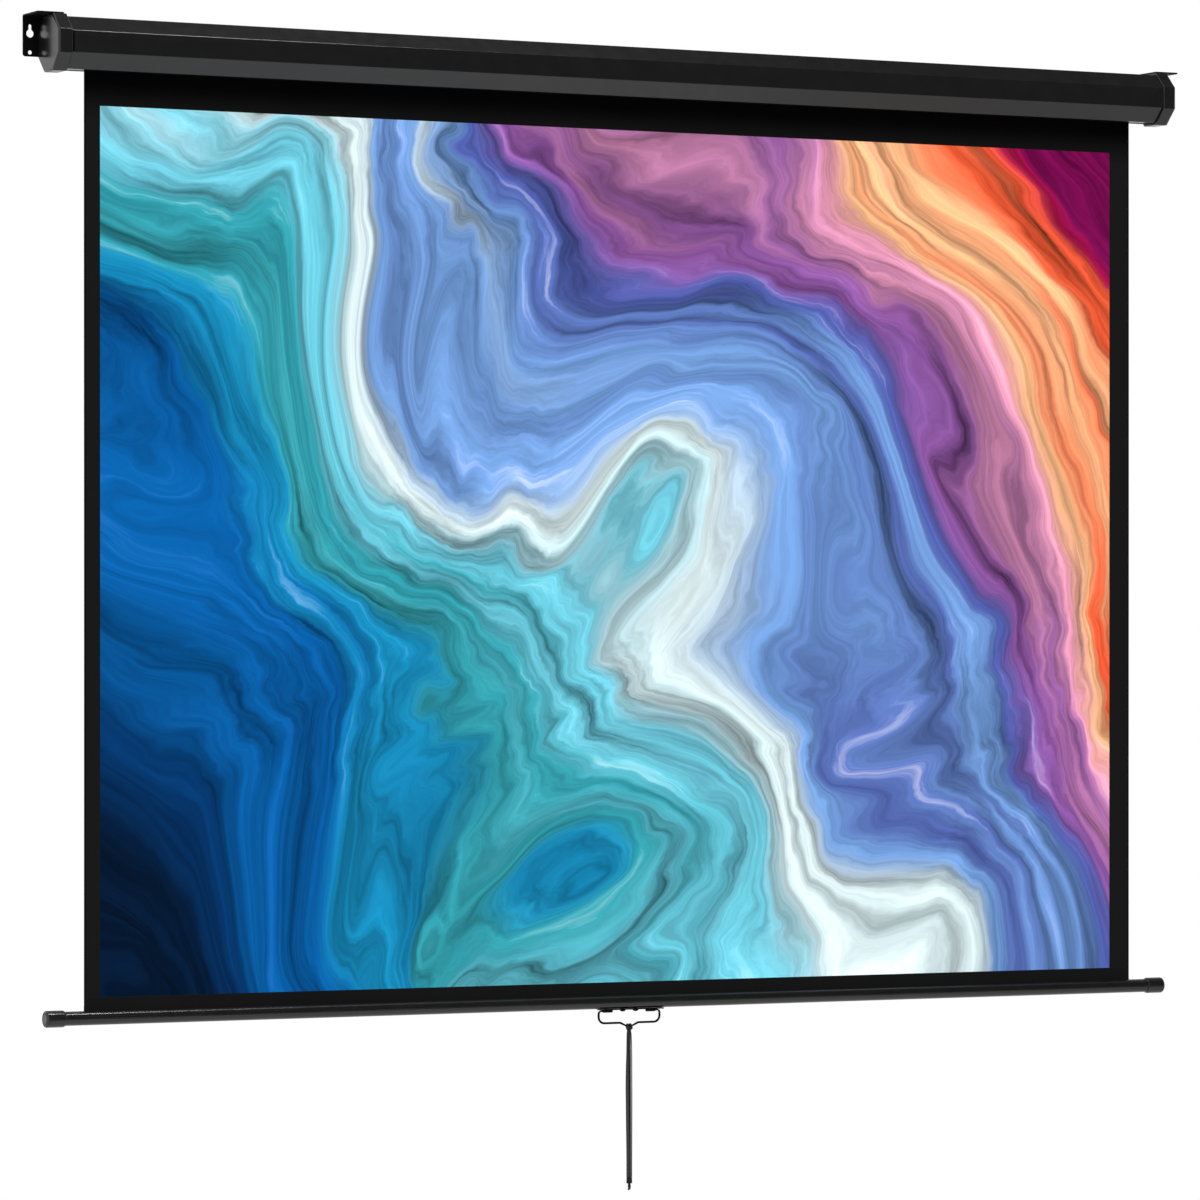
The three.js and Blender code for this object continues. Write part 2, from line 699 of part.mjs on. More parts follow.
function makeRoller() {
  addPiece('roller_tube', zincSteel, sleeveAlongX(
    tubeRadius, tubeBore, -tubeEndX, tubeEndX, rollerY, rollerZ,
  ));
  const outer = [];
  const inner = [];
  const steps = Math.round(wrapTurns * wrapStepsPerTurn);
  for (let k = 0; k <= steps; k += 1) {
    const angle = 2 * Math.PI * wrapTurns * k / steps;
    const radius = wrapEnd - wrapPitch * angle / (2 * Math.PI);
    const spoke = new THREE.Vector2(Math.cos(angle), Math.sin(angle));
    inner.push(spoke.clone().multiplyScalar(radius));
    outer.push(spoke.clone().multiplyScalar(radius + sheetThickness));
  }
  const wraps = new THREE.Shape([...outer, ...inner.reverse()]);
  const roll = alongX(wraps, -sheetHalf, sheetHalf).translate([0, rollerY, rollerZ]);
  addPiece('fabric_on_roller', sheetFabric, roll);
}

// The spring is fixed to the spindle by the collar and turns with the tube at the far plug
class Helix extends THREE.Curve {
  getPoint(t, target = new THREE.Vector3()) {
    const angle = 2 * Math.PI * springTurns * t;
    const x = lockPlace(springStart + springWire + (springLength - 2 * springWire) * t);
    return target.set(x, rollerY + springRadius * Math.cos(angle), rollerZ + springRadius * Math.sin(angle));
  }
}

function makeSpring() {
  const steps = springTurns * springStepsPerTurn;
  addPiece('torsion_spring', bareSteel, sweptAlong(new Helix(), springWire, springWireSides, steps));
  const bore = spindleRadius + fitGap;
  const bossReach = springRadius - springWire - 2 * fitGap;
  const flangeReach = springRadius + springWire;
  const near = lockPlace(springStart - fitGap);
  addPiece('spring_collar', bareSteel, turnedAlongX([
    [bore, near - collarFlange], [flangeReach, near - collarFlange], [flangeReach, near],
    [bossReach, near], [bossReach, near + collarBoss], [bore, near + collarBoss],
    [bore, near - collarFlange],
  ], rollerY, rollerZ, smallSides));
  const far = lockPlace(springStart + springLength + fitGap);
  addPiece('spring_plug', natural, turnedAlongX([
    [bore, far - collarBoss], [bossReach, far - collarBoss], [bossReach, far],
    [plugRadius, far], [plugRadius, far + collarBoss], [bore, far + collarBoss],
    [bore, far - collarBoss],
  ], rollerY, rollerZ));
}

function makeIdleEnd() {
  const face = idlePlace(headStart);
  const shoulder = idlePlace(headStart + headWidth);
  const end = idlePlace(headStart + headWidth + plugLength);
  const bore = idlePinRadius + fitGap;
  addPiece('idle_plug', natural, turnedAlongX([
    [bore, end], [plugRadius, end], [plugRadius, shoulder], [idleFlangeRadius, shoulder],
    [idleFlangeRadius, face], [bore, face], [bore, end],
  ], rollerY, rollerZ));
  addPiece('idle_pin', bareSteel, rodAlongX(
    idlePinRadius, end, idlePlace(bossLength - tangDepth), rollerY, rollerZ, smallSides,
  ));
  const bushOuter = bore + bushWall;
  const lip = idlePlace(bossLength + fitGap);
  addPiece('idle_bush', natural, turnedAlongX([
    [bore, lip - bushFlange], [bushFlangeRadius, lip - bushFlange], [bushFlangeRadius, lip],
    [bushOuter, lip], [bushOuter, idlePlace(fitGap)], [bore, idlePlace(fitGap)],
    [bore, lip - bushFlange],
  ], rollerY, rollerZ, smallSides));
}

// The hanging sheet, with its hem welded round the rod inside the bottom bar
function makeSheet() {
  const half = sheetThickness / 2;
  const top = rollerZ - fitGap;
  const meet = Math.PI / 2 + Math.asin(half / hemRadius);
  const outline = new THREE.Shape();
  outline.moveTo(half, top);
  outline.lineTo(-half, top);
  outline.absarc(0, hemZ, hemRadius, meet, 3 * Math.PI - meet, false);
  const hem = new THREE.Path();
  hem.absarc(0, hemZ, hemRodRadius + fitGap, 0, 2 * Math.PI, false);
  outline.holes.push(hem);
  addPiece('screen_sheet', sheetFabric, alongX(outline, -sheetHalf, sheetHalf).translate([0, sheetY, 0]));
  addPiece('hem_rod', bareSteel, rodAlongX(hemRodRadius, -sheetHalf, sheetHalf, sheetY, hemZ, smallSides));
}

const handleScrewPlaces = [-1, 1].map((side) => handleShift + side * handleScrewSpacing / 2);

function handleScrewDrill(x) {
  const radius = handleScrewRadius + fitGap;
  const length = 2 * (handlePlateThickness + handleScrewReach + fitGap);
  const drill = new THREE.CylinderGeometry(radius, radius, length, smallSides).rotateX(Math.PI / 2);
  return solid(drill.translate(x, sheetY, plateTopZ));
}

function makeBottomBar() {
  const end = barX - barCapWall - fitGap;
  const outerMeet = Math.asin(barSlot / 2 / barRadius);
  const innerMeet = Math.asin(barSlot / 2 / barBore);
  const top = Math.PI / 2;
  const wall = new THREE.Shape([
    ...arcPoints(barRadius, top + outerMeet, top + 2 * Math.PI - outerMeet, roundSides),
    ...arcPoints(barBore, top + 2 * Math.PI - innerMeet, top + innerMeet, roundSides),
  ]);
  let tube = alongX(wall, -end, end).translate([0, sheetY, barZ]);
  for (const x of handleScrewPlaces) {
    tube = tube.subtract(handleScrewDrill(x));
  }
  addPiece('bottom_bar_tube', paintedSteel, tube);
}

function makeBarCap(name, side) {
  const place = (inwards) => side * (barX - inwards);
  const pocket = barRadius + fitGap;
  const plug = barBore - fitGap;
  const plugEnd = barCapWall + barPlugLength;
  addPiece(name, glossPlastic, turnedAlongX([
    [0, place(0)], ...roundedEdge(barCapRadius, barCapEdge, place),
    [barCapRadius, place(barCapLength - barCapBevel)], [pocket + barCapLip, place(barCapLength)],
    [pocket, place(barCapLength)],
    [pocket, place(barCapWall)], [plug, place(barCapWall)], [plug, place(plugEnd)],
    [plug - barPlugWall, place(plugEnd)], [plug - barPlugWall, place(barCapWall)], [0, place(barCapWall)],
  ], sheetY, barZ));
}

function makeHandlePlate() {
  const half = handlePlateLength / 2;
  const low = sheetY - handlePlateWidth / 2;
  const high = sheetY + handlePlateWidth / 2;
  let plate = alongZ(filletedOutline([
    [-half, low, handlePlateCorner], [half, low, handlePlateCorner],
    [half, high, handlePlateCorner], [-half, high, handlePlateCorner],
  ]), plateBottomZ, plateTopZ);
  for (const side of [-1, 1]) {
    const middle = handleShift + side * loopSpacing / 2;
    const from = middle - loopLength / 2;
    const to = middle + loopLength / 2;
    plate = plate.add(rodAlongX(loopBore + loopWall, from, to, sheetY, hingeZ, smallSides).intersect(block(
      [from - overrun, low, hingeZ - handlePlateWidth], [to + overrun, high, plateTopZ],
    )));
    plate = plate.subtract(rodAlongX(loopBore, from - overrun, to + overrun, sheetY, hingeZ, smallSides));
  }
  for (const x of handleScrewPlaces) {
    plate = plate.subtract(handleScrewDrill(x));
  }
  addPiece('handle_plate', paintedSteel, plate);
}

// A pan-head screw from below through the handle plate into the bar
function makeHandleScrew(name, x) {
  const seat = plateBottomZ - fitGap;
  const tip = plateTopZ + fitGap + barWall + handleScrewReach / 2;
  const points = [new THREE.Vector2(0, tip), new THREE.Vector2(handleScrewRadius, tip)];
  points.push(new THREE.Vector2(handleScrewRadius, seat), new THREE.Vector2(handleScrewHeadRadius, seat));
  for (let k = 1; k <= edgeSteps; k += 1) {
    const angle = Math.PI / 2 * k / edgeSteps;
    points.push(new THREE.Vector2(
      handleScrewHeadRadius * Math.cos(angle), seat - handleScrewHead * Math.sin(angle),
    ));
  }
  points[points.length - 1].x = 0;
  const upright = new THREE.LatheGeometry(points, smallSides).rotateX(Math.PI / 2);
  addPiece(name, paintedSteel, solid(upright.translate(x, sheetY, 0)));
}

// The bail hangs in the plate's loops and dips to a shallow vee where the cord is hitched
function makeBail() {
  const half = bailWidth / 2;
  const peg = loopSpacing / 2 - loopLength / 2 - bailPegReach;
  const line = filletedPoints([
    [-peg, 0], [-half, 0, bailTopCorner], [-half, -bailHeight, bailBottomCorner],
    [-veeWidth / 2, -bailHeight, veeShoulder], [0, -bailHeight - veeDrop, veeBottom],
    [veeWidth / 2, -bailHeight, veeShoulder], [half, -bailHeight, bailBottomCorner],
    [half, 0, bailTopCorner], [peg, 0],
  ], false);
  const points = line.map(({ x, y }) => new THREE.Vector3(handleShift + x, sheetY, hingeZ + y));
  addPiece('pull_handle', paintedSteel, sweptRod(points, bailWire, bailWireSides, bailSteps));
}

// The hitch: two loops of cord round the bail, the band across them, and the neck below
function makeCordHitch() {
  const loopReach = bailWire + hitchClearance + hitchRope;
  let hitch = null;
  for (const side of [-1, 1]) {
    const loop = new THREE.TorusGeometry(loopReach, hitchRope, cordSides, smallSides).rotateY(Math.PI / 2);
    const ring = solid(loop.translate(side * ringX, 0, 0));
    hitch = hitch ? hitch.add(ring) : ring;
  }
  const band = new THREE.CapsuleGeometry(hitchRope, hitchBand, edgeSteps, cordSides).rotateZ(Math.PI / 2);
  hitch = hitch.add(solid(band.translate(0, -hitchRope, -loopReach)));
  for (const [x, y] of [leftStrand[0], rightStrand[0]]) {
    const neck = new THREE.CylinderGeometry(cordRadius, cordRadius, hitchNeck - loopReach, cordSides);
    neck.rotateX(Math.PI / 2).translate(x, y, -(hitchNeck + loopReach) / 2);
    hitch = hitch.add(solid(neck));
  }
  const join = hitchRope / 2;
  hitch = hitch.add(block(
    [leftStrand[0][0], leftStrand[0][1] - join, -hitchNeck],
    [rightStrand[0][0], rightStrand[0][1] + join, -loopReach],
  ));
  addPiece('cord_hitch', cordFibre, hitch.translate([handleShift, sheetY, veeBottomZ]));
}

function strandEnd(strand) {
  const [x, y, z] = strand[strand.length - 1];
  return new THREE.Vector3(handleShift + x, sheetY + y, veeBottomZ + z);
}

function makeCord() {
  for (const [name, strand] of [['left_cord_strand', leftStrand], ['right_cord_strand', rightStrand]]) {
    const points = strand.map(([x, y, z]) => (
      new THREE.Vector3(handleShift + x, sheetY + y, veeBottomZ + z)));
    addPiece(name, cordFibre, sweptRod(points, cordRadius, cordSides, cordSteps));
  }
  const left = strandEnd(leftStrand);
  const right = strandEnd(rightStrand);
  const top = left.z - fitGap;
  const bottom = top - bindingHeight;
  const depth = bindingDepth / 2;
  const reach = cordRadius;
  const along = right.clone().sub(left).normalize();
  const bindingCorner = (end, forward, sideways) => [
    end.x + forward * along.x - sideways * along.y,
    end.y + forward * along.y + sideways * along.x,
    reach,
  ];
  const binding = alongZ(filletedOutline([
    bindingCorner(left, -reach, -depth), bindingCorner(right, reach, -depth),
    bindingCorner(right, reach, depth), bindingCorner(left, -reach, depth),
  ]), bottom, top);
  addPiece('cord_binding', cordFibre, binding);
  const tailX = (left.x + right.x) / 2;
  const tailTop = bottom - fitGap;
  const tail = solid(new THREE.CylinderGeometry(tailRadius, tailRadius, tailLength, smallSides)
    .rotateX(Math.PI / 2).translate(tailX, sheetY, tailTop - tailLength / 2));
  const slant = new THREE.Shape();
  slant.moveTo(tailX - tailRadius - overrun, tailTop - tailLength - overrun);
  slant.lineTo(tailX + tailRadius + overrun, tailTop - tailLength - overrun);
  slant.lineTo(tailX + tailRadius + overrun, tailTop - tailLength + tailSlant + overrun);
  const cut = alongY(slant, sheetY - tailRadius - overrun, sheetY + tailRadius + overrun);
  addPiece('cord_tail', cordFibre, tail.subtract(cut));
}

makeCaseShell();
makeEndCaps();
makeBrackets();
makeSpindle();
makeRatchetWheel();
makeRollerHead();
makePawl('pawl_a', 0);
makePawl('pawl_b', Math.PI);
makeRoller();
makeSpring();
makeIdleEnd();
makeSheet();
makeBottomBar();
makeBarCap('left_bar_cap', -1);
makeBarCap('right_bar_cap', 1);
makeHandlePlate();
makeHandleScrew('left_handle_screw', handleScrewPlaces[0]);
makeHandleScrew('right_handle_screw', handleScrewPlaces[1]);
makeBail();
makeCordHitch();
makeCord();

export default screen;
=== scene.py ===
"""A manual pull-down projection screen, fully drawn down below its octagonal case."""

import math

import bmesh
import bpy
from mathutils import Matrix, Vector


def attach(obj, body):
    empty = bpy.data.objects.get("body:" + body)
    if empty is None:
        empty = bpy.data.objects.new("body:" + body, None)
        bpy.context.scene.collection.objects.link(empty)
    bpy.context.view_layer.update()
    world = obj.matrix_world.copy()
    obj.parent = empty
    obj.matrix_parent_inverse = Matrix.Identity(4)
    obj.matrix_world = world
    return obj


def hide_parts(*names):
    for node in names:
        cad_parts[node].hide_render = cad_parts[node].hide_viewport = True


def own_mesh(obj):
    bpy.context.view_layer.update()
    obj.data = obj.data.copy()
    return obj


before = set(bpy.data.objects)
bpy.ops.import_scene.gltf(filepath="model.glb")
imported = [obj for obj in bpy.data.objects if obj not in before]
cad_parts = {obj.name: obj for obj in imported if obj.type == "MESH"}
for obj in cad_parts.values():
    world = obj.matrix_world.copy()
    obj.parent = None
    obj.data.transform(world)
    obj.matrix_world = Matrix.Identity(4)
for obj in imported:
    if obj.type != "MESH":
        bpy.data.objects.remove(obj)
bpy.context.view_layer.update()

# Sizes in metres that the scene shares with the CAD solids
SHEET_HALF = 0.88384
SHEET_Y = -0.0375
SHEET_THICK = 0.00045
SHEET_TOP = -0.0276
CASE_HALF = 0.93694
CASE_Y = -0.0433
CASE_Z = -0.0273
CASE_REACH = 0.0375
CASE_WALL = 0.0012
CASE_FLAT = 0.031
SLOT_WIDTH = 0.012
SLOT_LIP = 0.006
ROLLER_Y = -0.053225
ROLLER_Z = -0.0273
WOUND_REACH = 0.0155
WOUND_STEP = 0.0008
PICTURE_WIDTH = 1.70688
PICTURE_HEIGHT = 1.28016
PICTURE_BOTTOM = -1.39376
HEM_JOIN = -1.3953
HEM_Z = -1.41761
BAR_Z = -1.42336
BAR_RADIUS = 0.0102
BAR_WALL = 0.0012
BAR_SLOT = 0.0024
BAR_END = 0.94234
CAP_RADIUS = 0.0121
HANDLE_X = -0.0026
HINGE_Z = -1.43706
HITCH_Z = -1.46128
WIRE_THIN = 0.0012

# Sizes in metres that only the scene has
# Left of this x the case paint carries a painted shadow of the gap beside the left cap's rim
CASE_GAP_SHADE_X = -0.9159
CASE_BEND = 0.0011
LIP_BEND = 0.0008
PICTURE_SHIFT = -0.0056
RIPPLE = 0.0006
HEM_REACH = 0.00272
HEM_LAP = 0.00047
HEM_LAP_TOP = -1.4060
BAR_INSET = 0.0033
CAP_END = 0.9444
CAP_ROUND = 0.003
WIRE = 0.00165
HITCH_CORD = 0.00182
STRAND = 0.00255
STRAND_NARROWING = 0.0005
THREAD = 0.00036
TAIL = 0.0024
YARN_PITCH = 0.0006

# Heights of the binding and the tail in millimetres about the hitch
BINDING_TOP = -226.5
BINDING_LENGTH = 8.5
TAIL_TOP = -234.6
TAIL_CUT = -244.6

THREAD_TURNS = 13
BRAID_STRANDS = 7


def at_hitch(points):
    """Points given in millimetres about the hitch, in metres in the model's frame."""
    return [Vector((HANDLE_X + x / 1000, SHEET_Y + y / 1000, HITCH_Z + z / 1000)) for x, y, z in points]


def smooth_path(points, steps):
    """A smooth line through the points, with that many steps between each two."""
    ends = [2 * points[0] - points[1], *points, 2 * points[-1] - points[-2]]
    line = []
    for before, start, end, after in zip(ends, ends[1:], ends[2:], ends[3:]):
        for k in range(steps):
            t = k / steps
            line.append(0.5 * (2 * start + (end - before) * t
                               + (2 * before - 5 * start + 4 * end - after) * t ** 2
                               + (3 * start - before - 3 * end + after) * t ** 3))
    line.append(points[-1].copy())
    return line


def rounded_path(corners, steps=8):
    """A line through (point, radius) corners, with an arc of that radius at each corner."""
    line = [corners[0][0]]
    for (before, _), (corner, radius), (after, _) in zip(corners, corners[1:], corners[2:]):
        back = (before - corner).normalized()
        ahead = (after - corner).normalized()
        half = back.angle(ahead) / 2
        centre = corner + (back + ahead).normalized() * (radius / math.sin(half))
        start = (corner + back * (radius / math.tan(half)) - centre).normalized()
        end = (corner + ahead * (radius / math.tan(half)) - centre).normalized()
        line += [centre + radius * start.slerp(end, k / steps) for k in range(steps + 1)]
    line.append(corners[-1][0])
    return line


def frames_along(path, roll=0.0):
    """A frame at each point of a path, with its Z axis along it, turned by roll from point to point."""
    befores = [path[0], *path[:-1]]
    afters = [*path[1:], path[-1]]
    tangents = [(after - before).normalized() for before, after in zip(befores, afters)]
    side = tangents[0].orthogonal().normalized()
    frames = []
    for k, (place, along) in enumerate(zip(path, tangents)):
        if k:
            side = (tangents[k - 1].rotation_difference(along) @ side).normalized()
        turned = Matrix.Rotation(roll * k, 3, along) @ side
        turn = Matrix((turned, along.cross(turned), along)).transposed().to_4x4()
        frames.append(Matrix.Translation(place) @ turn)
    return frames


def tube(path, radius, sides=12, roll=0.0, lobes=0, groove=0.0):
    """A closed tube along a path, with a UV map that runs round it and along it.

    It is round, or has that many lobes with grooves of that depth between them.
    """
    bm = bmesh.new()
    frames = frames_along(path, roll)
    radii = radius if isinstance(radius, list) else [radius] * len(path)
    rings = []
    last = None
    for here, reach in zip(frames, radii):
        ring = bmesh.ops.create_circle(bm, segments=sides, radius=reach, matrix=here)["verts"]
        for j, vert in enumerate(ring):
            dent = groove * (1 - math.cos(lobes * 2 * math.pi * j / sides)) / 2
            vert.co += (here.translation - vert.co).normalized() * dent
        edges = list({edge for vert in ring for edge in vert.link_edges})
        if last:
            bmesh.ops.bridge_loops(bm, edges=last + edges)
        rings.append(ring)
        last = edges
    for ring in (rings[0], rings[-1]):
        bmesh.ops.contextual_create(bm, geom=ring)
    bmesh.ops.recalc_face_normals(bm, faces=bm.faces)
    lengths = [0.0]
    for a, b in zip(path, path[1:]):
        lengths.append(lengths[-1] + (b - a).length)
    where = {v: (j, k) for k, ring in enumerate(rings) for j, v in enumerate(ring)}
    uv = bm.loops.layers.uv.new("UVMap")
    round_it = 2 * math.pi * max(radii)
    for face in bm.faces:
        spread = [where[loop.vert][0] for loop in face.loops]
        wraps = len(face.loops) == 4 and max(spread) - min(spread) > 1
        for loop in face.loops:
            j, k = where[loop.vert]
            loop[uv].uv = ((j + sides if wraps and j == 0 else j) / sides, lengths[k] / round_it)
    return bm


def merged(bm, other):
    """The first bmesh with the second one's faces added to it."""
    mesh = bpy.data.meshes.new("part")
    other.to_mesh(mesh)
    bm.from_mesh(mesh)
    bpy.data.meshes.remove(mesh)
    other.free()
    return bm


def strip(points, x_from, x_to, bends=()):
    """A flat strip along X whose profile runs through (y, z) points.

    Each of the bends, a point's number and a radius, is rounded.
    """
    bm = bmesh.new()
    chain = [bm.verts.new((x_from, y, z)) for y, z in points]
    edges = [bm.edges.new(pair) for pair in zip(chain, chain[1:])]
    made = bmesh.ops.extrude_edge_only(bm, edges=edges)["geom"]
    moved = [g for g in made if isinstance(g, bmesh.types.BMVert)]
    bmesh.ops.translate(bm, verts=moved, vec=(x_to - x_from, 0, 0))
    lines = {}
    for number, radius in bends:
        before, corner, after = (Vector(points[k]) for k in (number - 1, number, number + 1))
        turn = math.pi - (before - corner).angle(after - corner)
        along = [e for e in chain[number].link_edges if abs(e.verts[0].co.x - e.verts[1].co.x) > 0.001]
        lines.setdefault(round(radius * math.tan(turn / 2), 7), []).extend(along)
    for offset, bent in lines.items():
        bmesh.ops.bevel(bm, geom=bent, offset=offset, offset_type="OFFSET", segments=5,
                        profile=0.5, affect="EDGES", material=-1)
    bmesh.ops.recalc_face_normals(bm, faces=bm.faces)
    return bm


def turned(profile, centre, sides=64):
    """A solid turned about an X axis through centre, from (radius, x) points with both ends on the axis."""
    bm = bmesh.new()
    y, z = centre
    chain = [bm.verts.new((x, y, z + radius)) for radius, x in profile]
    edges = [bm.edges.new(pair) for pair in zip(chain, chain[1:])]
    bmesh.ops.spin(bm, geom=chain + edges, cent=(0, y, z), axis=(1, 0, 0), angle=2 * math.pi,
                   steps=sides, use_merge=True)
    bmesh.ops.remove_doubles(bm, verts=bm.verts, dist=1e-6)
    bmesh.ops.recalc_face_normals(bm, faces=bm.faces)
    return bm


def fine_copy(node, ease=0.0, long_ease=0.0):
    """A copy of a CAD solid with its triangles merged into whole faces and its edges eased.

    Obtuse edges that run along X may get a wider round of their own.
    """
    bm = bmesh.new()
    bm.from_mesh(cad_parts[node].data)
    bmesh.ops.remove_doubles(bm, verts=bm.verts, dist=1e-6)
    bmesh.ops.dissolve_limit(bm, angle_limit=math.radians(1), verts=bm.verts, edges=bm.edges)
    if long_ease:
        obtuse = [
            e for e in bm.edges
            if e.is_manifold and e.is_convex and math.radians(40) < e.calc_face_angle() < math.radians(50)
            and abs(e.verts[0].co.x - e.verts[1].co.x) > 0.9 * e.calc_length() > 0.005
        ]
        bmesh.ops.bevel(bm, geom=obtuse, offset=long_ease, offset_type="OFFSET", segments=4,
                        profile=0.5, affect="EDGES", material=-1)
    if ease:
        sharp = [e for e in bm.edges if e.is_manifold and e.calc_face_angle() > math.radians(40)]
        bmesh.ops.bevel(bm, geom=sharp, offset=ease, offset_type="OFFSET", segments=2,
                        profile=0.5, affect="EDGES", material=-1)
    return bm


def placed(name, bm, *materials):
    """A new object in the scene, made of a bmesh and its materials."""
    mesh = bpy.data.meshes.new(name)
    bm.to_mesh(mesh)
    bm.free()
    for material in materials:
        mesh.materials.append(material)
    made = bpy.data.objects.new(name, mesh)
    bpy.context.scene.collection.objects.link(made)
    return made


def piece(name, bm, body, finish, stands_for=(), wall=0.0, crease=35):
    """Makes a bmesh a smooth-shaded piece that rides on a body and stands for CAD nodes.

    A bmesh with a wall is a surface that the wall thickens to both sides.
    """
    made = placed(name, bm, *(finish if isinstance(finish, list) else [finish]))
    mesh = made.data
    mesh.polygons.foreach_set("use_smooth", [True] * len(mesh.polygons))
    mesh.set_sharp_from_angle(angle=math.radians(crease))
    if wall:
        solid = made.modifiers.new("wall", "SOLIDIFY")
        solid.thickness = wall
        solid.offset = 0
        solid.use_even_offset = True
        solid.use_rim = True
    level = made.modifiers.new("flats", "WEIGHTED_NORMAL")
    level.mode = "FACE_AREA"
    level.weight = 50
    level.keep_sharp = True
    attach(made, body)
    if stands_for:
        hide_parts(*stands_for)
    return made


class Finish:
    """A material made of nodes, which read the piece's own coordinates or its UV map."""

    def __init__(self, name, colour, roughness, metallic=0.0, specular=0.5):
        self.material = bpy.data.materials.new(name)
        self.material.use_nodes = True
        self.material.diffuse_color = (*colour, 1)
        self.tree = self.material.node_tree
        self.shader = self.tree.nodes["Principled BSDF"]
        self.shader.inputs["Base Color"].default_value = (*colour, 1)
        self.shader.inputs["Roughness"].default_value = roughness
        self.shader.inputs["Metallic"].default_value = metallic
        self.shader.inputs["Specular IOR Level"].default_value = specular
        self.place = self.add("ShaderNodeTexCoord", output="Object")

    def add(self, kind, inputs=(), output=0, **settings):
        """Adds a node, with its settings and inputs, and returns one of its outputs."""
        node = self.tree.nodes.new(kind)
        for key, value in settings.items():
            setattr(node, key, value)
        for key, value in dict(inputs).items():
            self.put(node.inputs[key], value)
        return node.outputs[output]

    def put(self, socket, value):
        """Links an output to a socket, or sets the socket's own value."""
        if isinstance(value, bpy.types.NodeSocket):
            self.tree.links.new(value, socket)
        else:
            socket.default_value = value

    def set(self, name, value):
        """Links an output to an input of the shader, or sets that input."""
        self.put(self.shader.inputs[name], value)

    def math(self, operation, *values):
        return self.add("ShaderNodeMath", enumerate(values), operation=operation)

    def split(self, vector):
        """The three coordinates of a vector."""
        node = self.tree.nodes.new("ShaderNodeSeparateXYZ")
        self.put(node.inputs[0], vector)
        return node.outputs

    def scaled(self, stretch, place=None, move=(0, 0, 0)):
        """A place, or the piece's own coordinates, stretched and then moved."""
        values = {"Vector": place or self.place, "Scale": stretch, "Location": move}
        return self.add("ShaderNodeMapping", values)

    def noise(self, scale, detail=2.0, roughness=0.5, place=None, output="Fac"):
        values = {"Vector": place or self.place, "Scale": scale, "Detail": detail, "Roughness": roughness}
        return self.add("ShaderNodeTexNoise", values, output=output)

    def span(self, value, low, high, to_low=0.0, to_high=1.0, **settings):
        """The value with low to high mapped onto to_low to to_high."""
        values = {"Value": value, "From Min": low, "From Max": high, "To Min": to_low, "To Max": to_high}
        return self.add("ShaderNodeMapRange", values, **settings)

    def blend(self, share, first, second, kind="MIX"):
        """The first colour with that share of the second one blended over it."""
        # The colours of a mix node are its inputs 6 and 7 and its output 2
        node = self.tree.nodes.new("ShaderNodeMix")
        node.data_type = "RGBA"
        node.blend_type = kind
        self.put(node.inputs[0], share)
        self.put(node.inputs[6], first if isinstance(first, bpy.types.NodeSocket) else (*first, 1))
        self.put(node.inputs[7], second if isinstance(second, bpy.types.NodeSocket) else (*second, 1))
        return node.outputs[2]

    def ramp(self, value, stops, ease="LINEAR"):
        """The value's colour on a ramp of (position, colour) stops."""
        node = self.tree.nodes.new("ShaderNodeValToRGB")
        node.color_ramp.interpolation = ease
        elements = node.color_ramp.elements
        while len(elements) > 1:
            elements.remove(elements[-1])
        elements[0].position = stops[0][0]
        elements[0].color = (*stops[0][1], 1)
        for place, colour in stops[1:]:
            elements.new(place).color = (*colour, 1)
        self.put(node.inputs[0], value)
        return node.outputs[0]

    def grey(self, value):
        """A value from 0 to 1 as a colour."""
        return self.ramp(value, [(0.0, (0, 0, 0)), (1.0, (1, 1, 1))])

    def bump(self, height, depth, strength):
        """A normal that follows a height, as deep as depth."""
        return self.add("ShaderNodeBump", {"Height": height, "Distance": depth, "Strength": strength})


def painted(name, colour, roughness, specular=0.5, depth=0.000004, gap_shade_x=None):
    """Powder-coated steel, with a faint orange peel and slightly uneven gloss.

    Left of the given x, where the left cap's rim stands over the case's upright flat, the paint is dark and
    duller: a painted shadow of the gap beside the rim.
    """
    paint = Finish(name, colour, roughness, specular=specular)
    cloud = paint.noise(26, 4, 0.6)
    tint = paint.blend(cloud, [0.75 * c for c in colour], [1.3 * c for c in colour])
    # Painted shadow: a dark, less glossy line on the case's upright flats beside the left cap's rim, where
    # the gap between them lies in shade
    if gap_shade_x:
        x, _, z = paint.split(paint.place)
        height = paint.math("ABSOLUTE", paint.math("SUBTRACT", z, CASE_Z))
        beyond = paint.math("MULTIPLY", paint.span(x, gap_shade_x + 0.0004, gap_shade_x),
                            paint.math("LESS_THAN", height, CASE_FLAT / 2))
        tint = paint.blend(beyond, tint, [0.1 * c for c in colour])
        paint.set("Specular IOR Level", paint.span(beyond, 0.0, 1.0, specular, 0.3 * specular))
    paint.set("Base Color", tint)
    paint.set("Roughness", paint.span(paint.noise(60, 3), 0.3, 0.7, roughness - 0.03, roughness + 0.03))
    paint.set("Normal", paint.bump(paint.noise(900, 2), depth, 0.5))
    return paint.material


def moulded(name, colour, roughness):
    """Moulded plastic: glossy, with a fine spark texture and faint flow marks."""
    plastic = Finish(name, colour, roughness)
    flow = plastic.noise(14, 3, 0.5, plastic.scaled((1, 1, 3)))
    plastic.set("Base Color", plastic.blend(flow, [0.85 * c for c in colour], [1.2 * c for c in colour]))
    plastic.set("Roughness", plastic.span(flow, 0.3, 0.7, roughness - 0.02, roughness + 0.04))
    plastic.set("Normal", plastic.bump(plastic.noise(2200, 2), 0.000002, 0.3))
    return plastic.material


